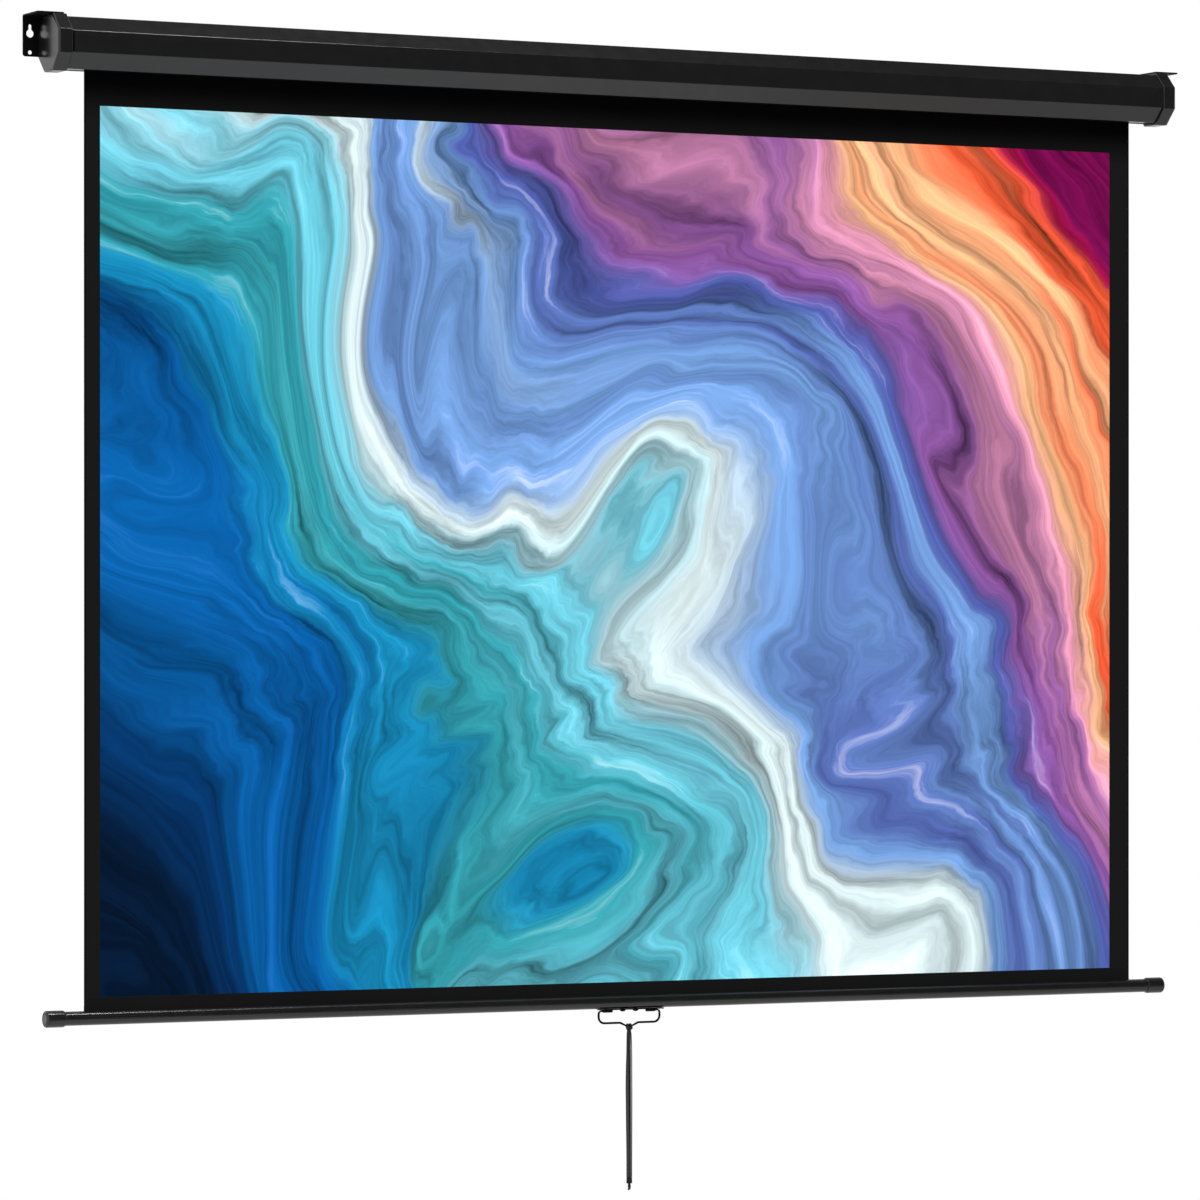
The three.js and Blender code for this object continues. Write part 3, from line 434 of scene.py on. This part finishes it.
def drawn_steel(name, colour, roughness, along=(0.02, 1, 1)):
    """Bare or zinc-coated steel with fine lines along its length and a dull mottle."""
    steel = Finish(name, colour, roughness, metallic=1.0)
    lines = steel.noise(1500, 4, 0.7, steel.scaled(along))
    mottle = steel.noise(90, 3)
    steel.set("Base Color", steel.blend(mottle, [0.82 * c for c in colour], colour))
    steel.set("Roughness", steel.span(lines, 0.25, 0.75, roughness - 0.07, roughness + 0.1))
    steel.set("Normal", steel.bump(lines, 0.00001, 0.3))
    return steel.material


def waves(finish, value, count):
    """A sine wave with that many waves to each unit of the value."""
    return finish.math("SINE", finish.math("MULTIPLY", value, 2 * math.pi * count))


def braided(name, colour, sheen_tint=None, fade=()):
    """A braided cord: strands of yarn that cross over and under, on the piece's UV map.

    With a second colour, the cord is paler between the heights in fade, a painted sheen, and is darkened by
    its strands' attribute, painted shade where each strand faces the other and along its far side.
    """
    braid = Finish(name, colour, 0.5, specular=0.3)
    around, along, _ = braid.split(braid.add("ShaderNodeUVMap", uv_map="UVMap"))
    rising = waves(braid, braid.math("ADD", around, along), BRAID_STRANDS)
    falling = waves(braid, braid.math("SUBTRACT", around, along), BRAID_STRANDS)
    weave = braid.span(braid.math("MULTIPLY", rising, falling), -1.0, 1.0, 0.75, 1.12)
    yarn = braid.noise(9000, 2, 0.5, braid.scaled((1, 1, 0.3)))
    shade = braid.math("MULTIPLY", weave, braid.span(yarn, 0.2, 0.8, 0.88, 1.08))
    tint = colour
    # Painted sheen: the paler stretch stands in for light catching the strand
    if sheen_tint:
        z = braid.split(braid.place)[2]
        high = braid.span(z, HITCH_Z - fade[0], HITCH_Z - fade[1])
        low = braid.span(z, HITCH_Z - fade[3], HITCH_Z - fade[2], 0.2)
        tint = braid.blend(braid.math("MULTIPLY", high, low), colour, sheen_tint)
        # Painted shade, read from the strands' attribute: dark where a strand faces the other one and along
        # its far side
        strand_shade = braid.add("ShaderNodeAttribute", attribute_name="strand_shade", output="Fac")
        shade = braid.math("MULTIPLY", shade, braid.span(strand_shade, 0.0, 1.0, 1.0, 0.02))
    braid.set("Base Color", braid.blend(1.0, tint, braid.grey(shade), "MULTIPLY"))
    braid.set("Normal", braid.bump(weave, 0.00005, 0.35))
    return braid.material


def woven(cloth):
    """Places across and up the sheet, and the height of a plain weave's crossing yarns there."""
    x, _, z = cloth.split(cloth.place)
    warp = waves(cloth, x, 0.5 / YARN_PITCH)
    weft = waves(cloth, z, 0.5 / YARN_PITCH)
    return x, z, cloth.math("MULTIPLY", warp, weft)


def coated_black(name):
    """The sheet's black coating, matt over a fine weave."""
    cloth = Finish(name, (0.0075, 0.0075, 0.0075), 0.65, specular=0.03)
    weave = woven(cloth)[2]
    cloud = cloth.noise(9, 4, 0.6)
    cloth.set("Base Color", cloth.blend(cloud, (0.0052, 0.0052, 0.0052), (0.0076, 0.0076, 0.0078)))
    cloth.set("Roughness", cloth.span(cloud, 0.3, 0.7, 0.58, 0.68))
    cloth.set("Normal", cloth.bump(weave, 0.00003, 0.5))
    return cloth.material


PICTURE_COLOURS = [
    (0.00, (0.001, 0.010, 0.035)), (0.10, (0.001, 0.030, 0.12)), (0.20, (0.002, 0.10, 0.34)),
    (0.29, (0.008, 0.24, 0.46)), (0.36, (0.03, 0.30, 0.36)), (0.42, (0.16, 0.58, 0.72)),
    (0.49, (0.62, 0.74, 0.76)), (0.55, (0.16, 0.32, 0.66)), (0.62, (0.07, 0.10, 0.36)),
    (0.70, (0.26, 0.09, 0.34)), (0.77, (0.70, 0.28, 0.40)), (0.84, (0.95, 0.48, 0.24)),
    (0.90, (0.82, 0.10, 0.035)), (0.95, (0.40, 0.006, 0.07)), (1.00, (0.17, 0.003, 0.07)),
]


def printed_picture(name):
    """The sheet's front: a black border round a picture of flowing bands of ink."""
    cloth = Finish(name, (0.2, 0.3, 0.5), 0.75, specular=0.03)
    x, z, weave = woven(cloth)
    left = PICTURE_SHIFT - PICTURE_WIDTH / 2
    across = cloth.span(x, left, left + PICTURE_WIDTH, 0, 4 / 3, clamp=False)
    up = cloth.span(z, PICTURE_BOTTOM, PICTURE_BOTTOM + PICTURE_HEIGHT, clamp=False)
    plane = cloth.add("ShaderNodeCombineXYZ", enumerate((across, up, 0.0)))

    def pushed(place, scale, detail, reach, seed):
        """A place that a noise pushes about, by up to half of reach."""
        moved = cloth.scaled((1, 1, 1), place, (seed, 0.7 * seed, 0))
        push = cloth.noise(scale, detail, 0.5, moved, output="Color")
        centred = cloth.add("ShaderNodeVectorMath", [(0, push), (1, (0.5, 0.5, 0.5))], operation="SUBTRACT")
        grown = cloth.add("ShaderNodeVectorMath", [(0, centred), (3, reach)], operation="SCALE")
        return cloth.add("ShaderNodeVectorMath", [(0, place), (1, grown)], operation="ADD")

    slow = pushed(plane, 1.3, 1.0, 1.1, 3.1)
    curled = pushed(slow, 2.6, 3.0, 0.34, 8.4)
    fine = pushed(curled, 9.0, 4.0, 0.05, 1.7)
    flow_x, flow_y, _ = cloth.split(fine)
    tide = cloth.math("ADD", cloth.math("MULTIPLY", flow_x, 0.56), cloth.math("MULTIPLY", flow_y, 0.36))
    band = cloth.add("ShaderNodeCombineXYZ", enumerate((
        cloth.math("MULTIPLY", tide, 46.0), cloth.math("MULTIPLY", flow_y, 3.0), 0.0)))
    strands = cloth.noise(1.0, 6.0, 0.62, band)
    broad = cloth.noise(0.22, 3.0, 0.5, band)
    hue = cloth.math("ADD", tide, cloth.span(broad, 0.3, 0.7, -0.09, 0.07))
    ink = cloth.ramp(hue, PICTURE_COLOURS, "EASE")
    light = cloth.span(strands, 0.28, 0.74, 0.16, 1.72)
    lit = cloth.blend(1.0, ink, cloth.grey(cloth.math("MULTIPLY", light, 0.5)), "MULTIPLY")
    bright = cloth.blend(1.0, lit, (2.0, 2.0, 2.0), "MULTIPLY")
    glint = cloth.span(strands, 0.60, 0.80, 0.0, 0.8)
    off_middle = cloth.math("ABSOLUTE", cloth.math("SUBTRACT", hue, 0.5))
    foam = cloth.math("MULTIPLY", glint, cloth.span(off_middle, 0.0, 0.32, 1.0, 0.0))
    picture = cloth.blend(foam, bright, (0.92, 0.86, 0.76))

    def between(value, end):
        """1 where the value lies between 0 and the end, and 0 elsewhere."""
        beyond = cloth.math("GREATER_THAN", value, 0.0)
        return cloth.math("MULTIPLY", beyond, cloth.math("LESS_THAN", value, end))

    edge = cloth.math("GREATER_THAN", cloth.math("ABSOLUTE", x), SHEET_HALF - 0.0025)
    # Painted shadow: the black border darkens towards its top, where the case above shades it
    case_shadowed_border = cloth.blend(cloth.span(z, -0.132, -0.086), (0.0078, 0.0078, 0.0079), (0.0014, 0.0014, 0.0014))
    border = cloth.blend(edge, case_shadowed_border, (0.002, 0.002, 0.002))
    inside = cloth.math("MULTIPLY", between(across, 4 / 3), between(up, 1.0))
    cloth.set("Base Color", cloth.blend(inside, border, picture))
    cloth.set("Normal", cloth.bump(weave, 0.00003, 0.4))
    return cloth.material


CASE_PAINT = painted("case_paint", (0.009, 0.009, 0.009), 0.2, depth=0.000002, gap_shade_x=CASE_GAP_SHADE_X)
BRACKET_PAINT = painted("bracket_paint", (0.0015, 0.0015, 0.0015), 0.5, specular=0.1)
BAR_PAINT = painted("bar_paint", (0.008, 0.008, 0.0082), 0.2, depth=0.000001)
HANDLE_PAINT = painted("handle_paint", (0.0006, 0.0006, 0.0006), 0.6, specular=0.03)
PLATE_PAINT = painted("plate_paint", (0.001, 0.001, 0.001), 0.3, specular=0.15, depth=0.000001)
CAP_PLASTIC = moulded("cap_plastic", (0.0095, 0.0095, 0.0096), 0.19)
NATURAL_PLASTIC = moulded("natural_plastic", (0.72, 0.70, 0.64), 0.4)
ROLLER_STEEL = drawn_steel("roller_steel", (0.55, 0.56, 0.57), 0.35)
BARE_STEEL = drawn_steel("bare_steel", (0.42, 0.42, 0.43), 0.32)
ZINC = drawn_steel("screw_zinc", (0.62, 0.62, 0.60), 0.3, (1, 1, 1))
CORD_FIBRE = braided("cord_fibre", (0.009, 0.009, 0.0092))
TAIL_FIBRE = braided("tail_fibre", (0.003, 0.003, 0.003))
# The two strands are the cord's black made paler between given heights: painted sheen on the left strand, a
# painted highlight on the right one
GREY_FIBRE = braided("grey_cord_fibre", (0.011, 0.011, 0.0112), (0.042, 0.042, 0.043),
                     (0.035, 0.08, 0.09, 0.5))
PALE_FIBRE = braided("pale_cord_fibre", (0.007, 0.007, 0.0072), (0.34, 0.34, 0.344),
                     (0.012, 0.03, 0.085, 0.235))
SHEET_BLACK = coated_black("sheet_black")
SHEET_FRONT = printed_picture("sheet_front")

# The camera stands where the photograph's does, left of the screen and level with its lower half
camera = bpy.data.objects.new("camera", bpy.data.cameras.new("camera"))
camera.location = (-4.0031, -7.7310, -0.9023)
camera.rotation_euler = (math.radians(90), 0, math.radians(-27.18))
camera.data.lens = 172.96
camera.data.sensor_width = 36
camera.data.shift_x = 0.00038
camera.data.shift_y = 0.0458
camera.data.clip_end = 200
bpy.context.scene.collection.objects.link(camera)
bpy.context.scene.camera = camera

# The doubled pull cord, whose two strands hang from the hitch to their binding.
# Its routes are in millimetres about the hitch.
LEFT_STRAND = [
    (-2.14, -1.65, -5.2), (-2.19, -1.53, -10), (-2.25, -1.29, -18), (-2.27, -1.06, -30),
    (-2.45, -0.73, -45), (-2.77, -0.35, -60), (-2.93, 0, -76), (-2.96, 0.22, -92),
    (-2.83, 0.04, -110), (-2.72, -0.18, -130), (-2.6, -0.39, -150), (-2.4, -0.65, -170),
    (-2.27, -0.82, -190), (-2.21, -0.9, -208), (-2.21, -0.92, -218), (-2.21, -0.92, -226),
]
RIGHT_STRAND = [
    (1.64, 1.65, -5.2), (2.0, 1.53, -10), (2.4, 1.29, -18), (2.7, 1.06, -30),
    (2.8, 0.73, -45), (2.7, 0.35, -60), (2.58, 0, -76), (2.53, -0.22, -92),
    (2.67, -0.04, -110), (2.74, 0.18, -130), (2.8, 0.39, -150), (2.85, 0.65, -170),
    (2.85, 0.82, -190), (2.83, 0.9, -208), (2.8, 0.92, -218), (2.8, 0.92, -226),
]
HITCH_ROUTE = [
    (-2.14, -1.65, -6.4), (-2.15, -0.7, -4.7), (-2.12, 1.2, -3.4), (-2.1, 2.7, -1.7), (-2.15, 3.1, 0.4),
    (-2.3, 2.1, 2.5), (-2.6, 0, 3.3), (-3.2, -2.1, 2.5), (-3.3, -3.2, 0.4), (-2.7, -3.45, -1.7),
    (-1.5, -3.65, -2.9), (-0.3, -3.75, -3.2), (0.9, -3.6, -3.0), (2.1, -3.4, -2.3), (2.55, -3.1, -0.4),
    (2.1, -2.2, 2.2), (1.7, 0, 3.3), (1.6, 2.1, 2.5), (1.55, 3.1, 0.4), (1.55, 2.9, -2.0),
    (1.6, 2.2, -4.2), (1.64, 1.65, -6.4),
]
# Half of the way from the left strand to the right one where they are bound, and the middle between them
PAIR = Vector((2.5, 0.92))
PAIR_X = 0.3


def round_pair(angle, reach, z):
    """A point on the outline round both strands where they are bound, in millimetres about the hitch."""
    side = max(-1.0, min(1.0, 1.6 * math.cos(angle)))
    along = PAIR.normalized()
    across = Vector((-along.y, along.x))
    x, y = side * PAIR + reach * (math.cos(angle) * along + math.sin(angle) * across)
    return PAIR_X + x, y, z


def bound_about_pair(vert):
    """Moves a vertex from a round about the hitch's axis to the outline round both strands."""
    x = vert.co.x - HANDLE_X
    y = vert.co.y - SHEET_Y
    reach = math.hypot(x, y)
    if reach > 1e-6:
        point = round_pair(math.atan2(y, x), 1000 * reach, 0)
        vert.co.x = HANDLE_X + point[0] / 1000
        vert.co.y = SHEET_Y + point[1] / 1000


hitch_line = smooth_path(at_hitch(HITCH_ROUTE), 5)
piece("hitched_cord", tube(hitch_line, HITCH_CORD, 14), "cord", CORD_FIBRE, ["cord_hitch"])

steps = 24
wraps = []
for k in range(THREAD_TURNS * steps + 1):
    down = k / (THREAD_TURNS * steps)
    reach = 2.2 + 0.3 * max(0.0, down - 0.75) / 0.25
    wraps.append(round_pair(2 * math.pi * k / steps, reach, BINDING_TOP - BINDING_LENGTH * down))
binding = tube(at_hitch(wraps), THREAD, 8)
core_line = [(-226.3, 2.05), (-230, 2.05), (-233.5, 2.1), (-234.8, 2.2), (-235.4, 2.0), (-235.8, 1.4),
             (-235.95, 0.7)]
core = tube(at_hitch([(0, 0, z) for z, _ in core_line]), [reach / 1000 for _, reach in core_line], 24)
for vert in core.verts:
    bound_about_pair(vert)
binding = piece("cord_wrapping", merged(binding, core), "cord", CORD_FIBRE, ["cord_binding"])
tail_line = at_hitch([(PAIR_X, 0, TAIL_TOP - 0.45 * k) for k in range(26)])
tail_end = tube(tail_line, TAIL, 24, roll=0.26, lobes=2, groove=0.00055)
for vert in tail_end.verts:
    x = 1000 * (vert.co.x - HANDLE_X) - PAIR_X
    vert.co.z = max(vert.co.z, HITCH_Z + (TAIL_CUT + 1.1 * x) / 1000)
tail = piece("cord_end", tail_end, "cord", TAIL_FIBRE, ["cord_tail"])
# Painted shade: each strand is dark where it faces the other one, in the crevice between them, and again
# beyond outer on its far side
for name, strand, inward, outer, node, fibre in (
    ("left_strand", LEFT_STRAND, 1, -0.7, "left_cord_strand", GREY_FIBRE),
    ("right_strand", RIGHT_STRAND, -1, -0.08, "right_cord_strand", PALE_FIBRE),
):
    line = smooth_path(at_hitch(strand), 5)
    reaches = [STRAND - STRAND_NARROWING * max(0.0, 1 - k / 10) ** 2 for k in range(len(line))]
    sides = 16
    made = piece(name, tube(line, reaches, sides), "cord", fibre, [node])
    strand_shade = made.data.attributes.new("strand_shade", "FLOAT", "POINT")
    for j, vert in enumerate(made.data.vertices):
        facing = inward * (vert.co - line[j // sides]).normalized().x
        shaded = min(0.9, 3.5 * (outer - facing))
        strand_shade.data[j].value = min(1.0, max(0.0, (facing - 0.32) / 0.12, shaded))

# The case and its caps, brackets and screws
middle = CASE_REACH - CASE_WALL / 2
corner = middle * math.tan(math.pi / 8)
slot_front = SHEET_Y - SLOT_WIDTH / 2 - CASE_WALL / 2 - CASE_Y
slot_rear = SHEET_Y + SLOT_WIDTH / 2 + CASE_WALL / 2 - CASE_Y
case_line = [
    (slot_rear, SLOT_LIP - CASE_REACH), (slot_rear, -middle), (corner, -middle), (middle, -corner),
    (middle, corner), (corner, middle), (-corner, middle), (-middle, corner), (-middle, -corner),
    (-corner, -middle), (slot_front, -middle), (slot_front, SLOT_LIP - CASE_REACH),
]
case_line = [(CASE_Y + y, CASE_Z + z) for y, z in case_line]
case_bends = [(1, LIP_BEND)] + [(k, CASE_BEND) for k in range(2, 10)] + [(10, LIP_BEND)]
piece("case_skin", strip(case_line, -CASE_HALF, CASE_HALF, case_bends), "case", CASE_PAINT,
      ["case_shell"], wall=CASE_WALL)
for side in ("left", "right"):
    piece(f"{side}_cap", fine_copy(f"{side}_end_cap", ease=0.0005, long_ease=0.0006), "case",
          CAP_PLASTIC, [f"{side}_end_cap"])
    piece(f"{side}_angle", fine_copy(f"{side}_bracket", ease=0.00025), "case", BRACKET_PAINT,
          [f"{side}_bracket"])
    for level in ("upper", "lower"):
        node = f"{side}_{level}_case_screw"
        piece(f"{side}_{level}_screw", fine_copy(node, ease=0.00012), "case", ZINC, [node])

# The sheet: the drawn-down part, the hem in the bar, and the turns left on the roller
bm = bmesh.new()
bmesh.ops.create_grid(bm, x_segments=40, y_segments=48, size=0.5)
flat = Matrix.Translation((0, SHEET_Y - SHEET_THICK / 2, (SHEET_TOP + HEM_JOIN) / 2))
flat @= Matrix.Rotation(math.pi / 2, 4, "X") @ Matrix.Diagonal((2 * SHEET_HALF, SHEET_TOP - HEM_JOIN, 1, 1))
bmesh.ops.transform(bm, matrix=flat, verts=bm.verts)
back = bmesh.ops.extrude_face_region(bm, geom=bm.faces[:], use_keep_orig=True)["geom"]
bmesh.ops.translate(bm, verts=[g for g in back if isinstance(g, bmesh.types.BMVert)], vec=(0, SHEET_THICK, 0))
bmesh.ops.recalc_face_normals(bm, faces=bm.faces)
for face in bm.faces:
    face.material_index = 0 if face.normal.y < -0.5 else 1
# Slight waves, which fade out towards the roller and the bar
for vert in bm.verts:
    down = (SHEET_TOP - vert.co.z) / (SHEET_TOP - HEM_JOIN)
    free = math.sin(math.pi * min(1.0, max(0.0, down))) ** 0.7
    ripple = math.sin(2.1 * vert.co.x + 0.6) * math.cos(4.3 * vert.co.x - 3.0 * down)
    vert.co.y += RIPPLE * free * ripple
sheet = piece("drawn_sheet", bm, "screen", [SHEET_FRONT, SHEET_BLACK], ["screen_sheet"])
hem_line = [(SHEET_Y, HEM_JOIN), (SHEET_Y, HEM_LAP_TOP - 0.002)]
steps = 20
for k in range(steps + 1):
    angle = math.radians(100) + math.radians(335) * k / steps
    hem_line.append((SHEET_Y + HEM_REACH * math.cos(angle), HEM_Z + HEM_REACH * math.sin(angle)))
hem_line += [(SHEET_Y + HEM_LAP, HEM_LAP_TOP - 0.0068), (SHEET_Y + HEM_LAP, HEM_LAP_TOP)]
hem = piece("hem_pocket", strip(hem_line, -SHEET_HALF, SHEET_HALF), "screen", SHEET_BLACK,
            wall=SHEET_THICK)
steps = 48
wound = []
for k in range(3 * steps // 2 + 1):
    angle = 2 * math.pi * k / steps
    reach = WOUND_REACH + SHEET_THICK / 2 - WOUND_STEP * k / steps
    wound.append((ROLLER_Y + reach * math.cos(angle), ROLLER_Z + reach * math.sin(angle)))
piece("wound_turns", strip(wound, -SHEET_HALF, SHEET_HALF), "roller", SHEET_BLACK,
      ["fabric_on_roller"], wall=SHEET_THICK)
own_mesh(sheet)

# The bottom bar, its caps, and the handle
wall_middle = BAR_RADIUS - BAR_WALL / 2
half_slot = math.asin(BAR_SLOT / 2 / wall_middle)
bar_end = BAR_END - BAR_INSET
bm = bmesh.new()
first = bm.verts.new((-bar_end, SHEET_Y + wall_middle * math.sin(half_slot),
                      BAR_Z + wall_middle * math.cos(half_slot)))
arc = bmesh.ops.spin(bm, geom=[first], cent=(0, SHEET_Y, BAR_Z), axis=(1, 0, 0),
                     angle=-(2 * math.pi - 2 * half_slot), steps=60)
drawn = bmesh.ops.extrude_edge_only(bm, edges=bm.edges[:])["geom"]
bmesh.ops.translate(bm, verts=[g for g in drawn if isinstance(g, bmesh.types.BMVert)],
                    vec=(2 * bar_end, 0, 0))
bmesh.ops.recalc_face_normals(bm, faces=bm.faces)
piece("bar_tube", bm, "screen", BAR_PAINT, ["bottom_bar_tube"], wall=BAR_WALL)
quarter = [math.pi / 2 * k / 8 for k in range(9)]
rounding = [(CAP_RADIUS - CAP_ROUND * (1 - math.sin(angle)), CAP_ROUND * (1 - math.cos(angle)))
            for angle in quarter]
# From the middle of a cap's outer disc, over its ring groove and rim, to the sleeve and plug inside
cap_profile = [
    (0, 0), (0.0076, 0), (0.0078, 0.0007), (0.0087, 0.0007), (0.0089, 0), *rounding,
    (CAP_RADIUS, 0.0275), (0.0109, 0.03), (0.0105, 0.03), (0.0105, 0.0045),
    (0.0087, 0.0045), (0.0087, 0.0165), (0.0072, 0.0165), (0.0072, 0.0045), (0, 0.0045),
]
for name, side in (("left", -1), ("right", 1)):
    cap = turned([(radius, side * (CAP_END - inwards)) for radius, inwards in cap_profile], (SHEET_Y, BAR_Z))
    piece(f"{name}_bar_end", cap, "screen", CAP_PLASTIC, [f"{name}_bar_cap"], crease=28)
    piece(f"{name}_plate_screw", fine_copy(f"{name}_handle_screw"), "screen", HANDLE_PAINT,
          [f"{name}_handle_screw"])
piece("bail_plate", fine_copy("handle_plate", ease=0.0002), "screen", PLATE_PAINT,
      ["handle_plate"])
# Corners of the wire in millimetres about its hinge, each with the radius of its bend
bail_corners = [
    (-28.0, 0, 0), (-51.5, 0, 4), (-51.5, -18, 9.5), (-15, -18, 8), (0, -25.2, 9), (15, -18, 8),
    (51.5, -18, 9.5), (51.5, 0, 4), (28.0, 0, 0),
]
bail_line = rounded_path([(Vector((HANDLE_X + x / 1000, SHEET_Y, HINGE_Z + z / 1000)), radius / 1000)
                          for x, z, radius in bail_corners])
# The wire is thin along the plate and in the vee that the cord is hitched on
gauge = [WIRE_THIN if point.z > HINGE_Z - 0.001 or abs(point.x - HANDLE_X) < 0.009 else WIRE
         for point in bail_line]
piece("wire_bail", tube(bail_line, gauge, 14), "handle", HANDLE_PAINT, ["pull_handle"])

# The mechanism inside the case keeps its CAD solids
for finish, nodes in (
    (ROLLER_STEEL, ["roller_tube"]),
    (BARE_STEEL, ["spindle", "ratchet_wheel", "pawl_a", "pawl_a_pin", "pawl_b", "pawl_b_pin",
                  "torsion_spring", "spring_collar", "idle_pin", "hem_rod"]),
    (NATURAL_PLASTIC, ["roller_head", "spring_plug", "idle_plug", "idle_bush"]),
):
    for node in nodes:
        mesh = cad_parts[node].data
        mesh.materials.clear()
        mesh.materials.append(finish)

# The studio: white surroundings, a pale floor, dark cards that only reflections see, and soft lamps
# The world is white where it is seen or mirrored, and lights matt surfaces less
world = bpy.data.worlds.new("studio")
world.use_nodes = True
sky = world.node_tree
rays = sky.nodes.new("ShaderNodeLightPath")
seen = sky.nodes.new("ShaderNodeMath")
seen.operation = "MAXIMUM"
sky.links.new(rays.outputs["Is Camera Ray"], seen.inputs[0])
sky.links.new(rays.outputs["Is Glossy Ray"], seen.inputs[1])
also = sky.nodes.new("ShaderNodeMath")
also.operation = "MAXIMUM"
sky.links.new(seen.outputs[0], also.inputs[0])
sky.links.new(rays.outputs["Is Transmission Ray"], also.inputs[1])
strength = sky.nodes.new("ShaderNodeMapRange")
strength.inputs["To Min"].default_value = 0.3
strength.inputs["To Max"].default_value = 1.0
sky.links.new(also.outputs[0], strength.inputs["Value"])
sky.links.new(strength.outputs[0], sky.nodes["Background"].inputs["Strength"])
sky.nodes["Background"].inputs["Color"].default_value = (1, 1, 1, 1)
bpy.context.scene.world = world
bpy.context.scene.view_settings.view_transform = "Standard"


def card(name, centre, size, toward, shade):
    """A flat card seen only in reflections."""
    bm = bmesh.new()
    bmesh.ops.create_grid(bm, x_segments=1, y_segments=1, size=0.5)
    aim = (Vector(toward) - Vector(centre)).to_track_quat("Z", "Y").to_matrix().to_4x4()
    place = Matrix.Translation(centre) @ aim @ Matrix.Diagonal((*size, 1, 1))
    bmesh.ops.transform(bm, matrix=place, verts=bm.verts)
    made = placed(name, bm, Finish(name, (shade, shade, shade), 1.0, specular=0.0).material)
    made.visible_camera = False
    made.visible_diffuse = False
    made.visible_shadow = False
    made.visible_transmission = False


BLACK = 0.004
for name, centre, size, toward, shade in (
    ("front_flag", (5.9, -8.5, 1.07), (12.9, 6.25), (0.9, 0.5, 1.07), BLACK),
    ("upper_flag", (3.75, -5.25, 4.85), (10.5, 7.6), (3.75, -5.08, 3.87), BLACK),
    ("top_flag", (3.9, 0.7, 3.6), (3.7, 2.8), (3.9, 0.7, 0), 0.05),
    ("top_grey", (0.9, 0.7, 3.6), (2.3, 2.8), (0.9, 0.7, 0), 0.17),
    ("rear_flag", (3.0, 4.5, 1.5), (6.6, 3.4), (3.0, 0, 1.5), BLACK),
    ("low_rear_flag", (3.0, 4.5, -1.6), (6.6, 1.4), (3.0, 0, -1.6), BLACK),
    ("floor_flag", (3.5, -4.75, -2.28), (9.0, 4.5), (3.5, -4.75, 0), BLACK),
    ("floor_grey", (2.4, -0.4, -2.27), (1.9, 1.6), (2.4, -0.4, 0), 0.77),
):
    card(name, centre, size, toward, shade)


def lamp(name, centre, size, toward, watts, glossy):
    """A soft lamp that only reflections see if it is glossy, and only matt surfaces if not."""
    light = bpy.data.lights.new(name, "AREA")
    light.shape = "RECTANGLE"
    light.size, light.size_y = size
    light.energy = watts
    made = bpy.data.objects.new(name, light)
    made.location = centre
    made.rotation_euler = (Vector(centre) - Vector(toward)).to_track_quat("Z", "Y").to_euler()
    made.visible_glossy = glossy
    made.visible_diffuse = not glossy
    bpy.context.scene.collection.objects.link(made)


lamp("key", (-1.0, -10.0, 10.0), (10, 5), (0, 0, -0.7), 2200, False)
lamp("edge", (0.38, -1.12, 2.8), (0.95, 0.26), (0.2, 0, -0.7), 66, True)

# The floor fades into the white towards its rim, and is clear from below
FLOOR_Z = -2.3
FLOOR_RADIUS = 5.0
floor = Finish("floor", (0.85, 0.85, 0.85), 0.9, specular=0.1)
outwards = floor.add("ShaderNodeVectorMath", [(0, floor.place)], output=1, operation="LENGTH")
fade = floor.math("DIVIDE", outwards, FLOOR_RADIUS)
glow = floor.add("ShaderNodeEmission", {"Color": (1, 1, 1, 1), "Strength": 1.0})
mixed = floor.tree.nodes.new("ShaderNodeMixShader")
floor.put(mixed.inputs[0], floor.span(fade, 0.25, 0.95, 0.85, 1.0))
floor.put(mixed.inputs[1], floor.shader.outputs[0])
floor.put(mixed.inputs[2], glow)
clear = floor.add("ShaderNodeBsdfTransparent")
sided = floor.tree.nodes.new("ShaderNodeMixShader")
floor.put(sided.inputs[0], floor.add("ShaderNodeNewGeometry", output="Backfacing"))
floor.put(sided.inputs[1], mixed.outputs[0])
floor.put(sided.inputs[2], clear)
floor.put(floor.tree.nodes["Material Output"].inputs[0], sided.outputs[0])
bm = bmesh.new()
bmesh.ops.create_circle(bm, cap_ends=True, segments=96, radius=FLOOR_RADIUS)
ground = placed("floor", bm, floor.material)
ground.location.z = FLOOR_Z
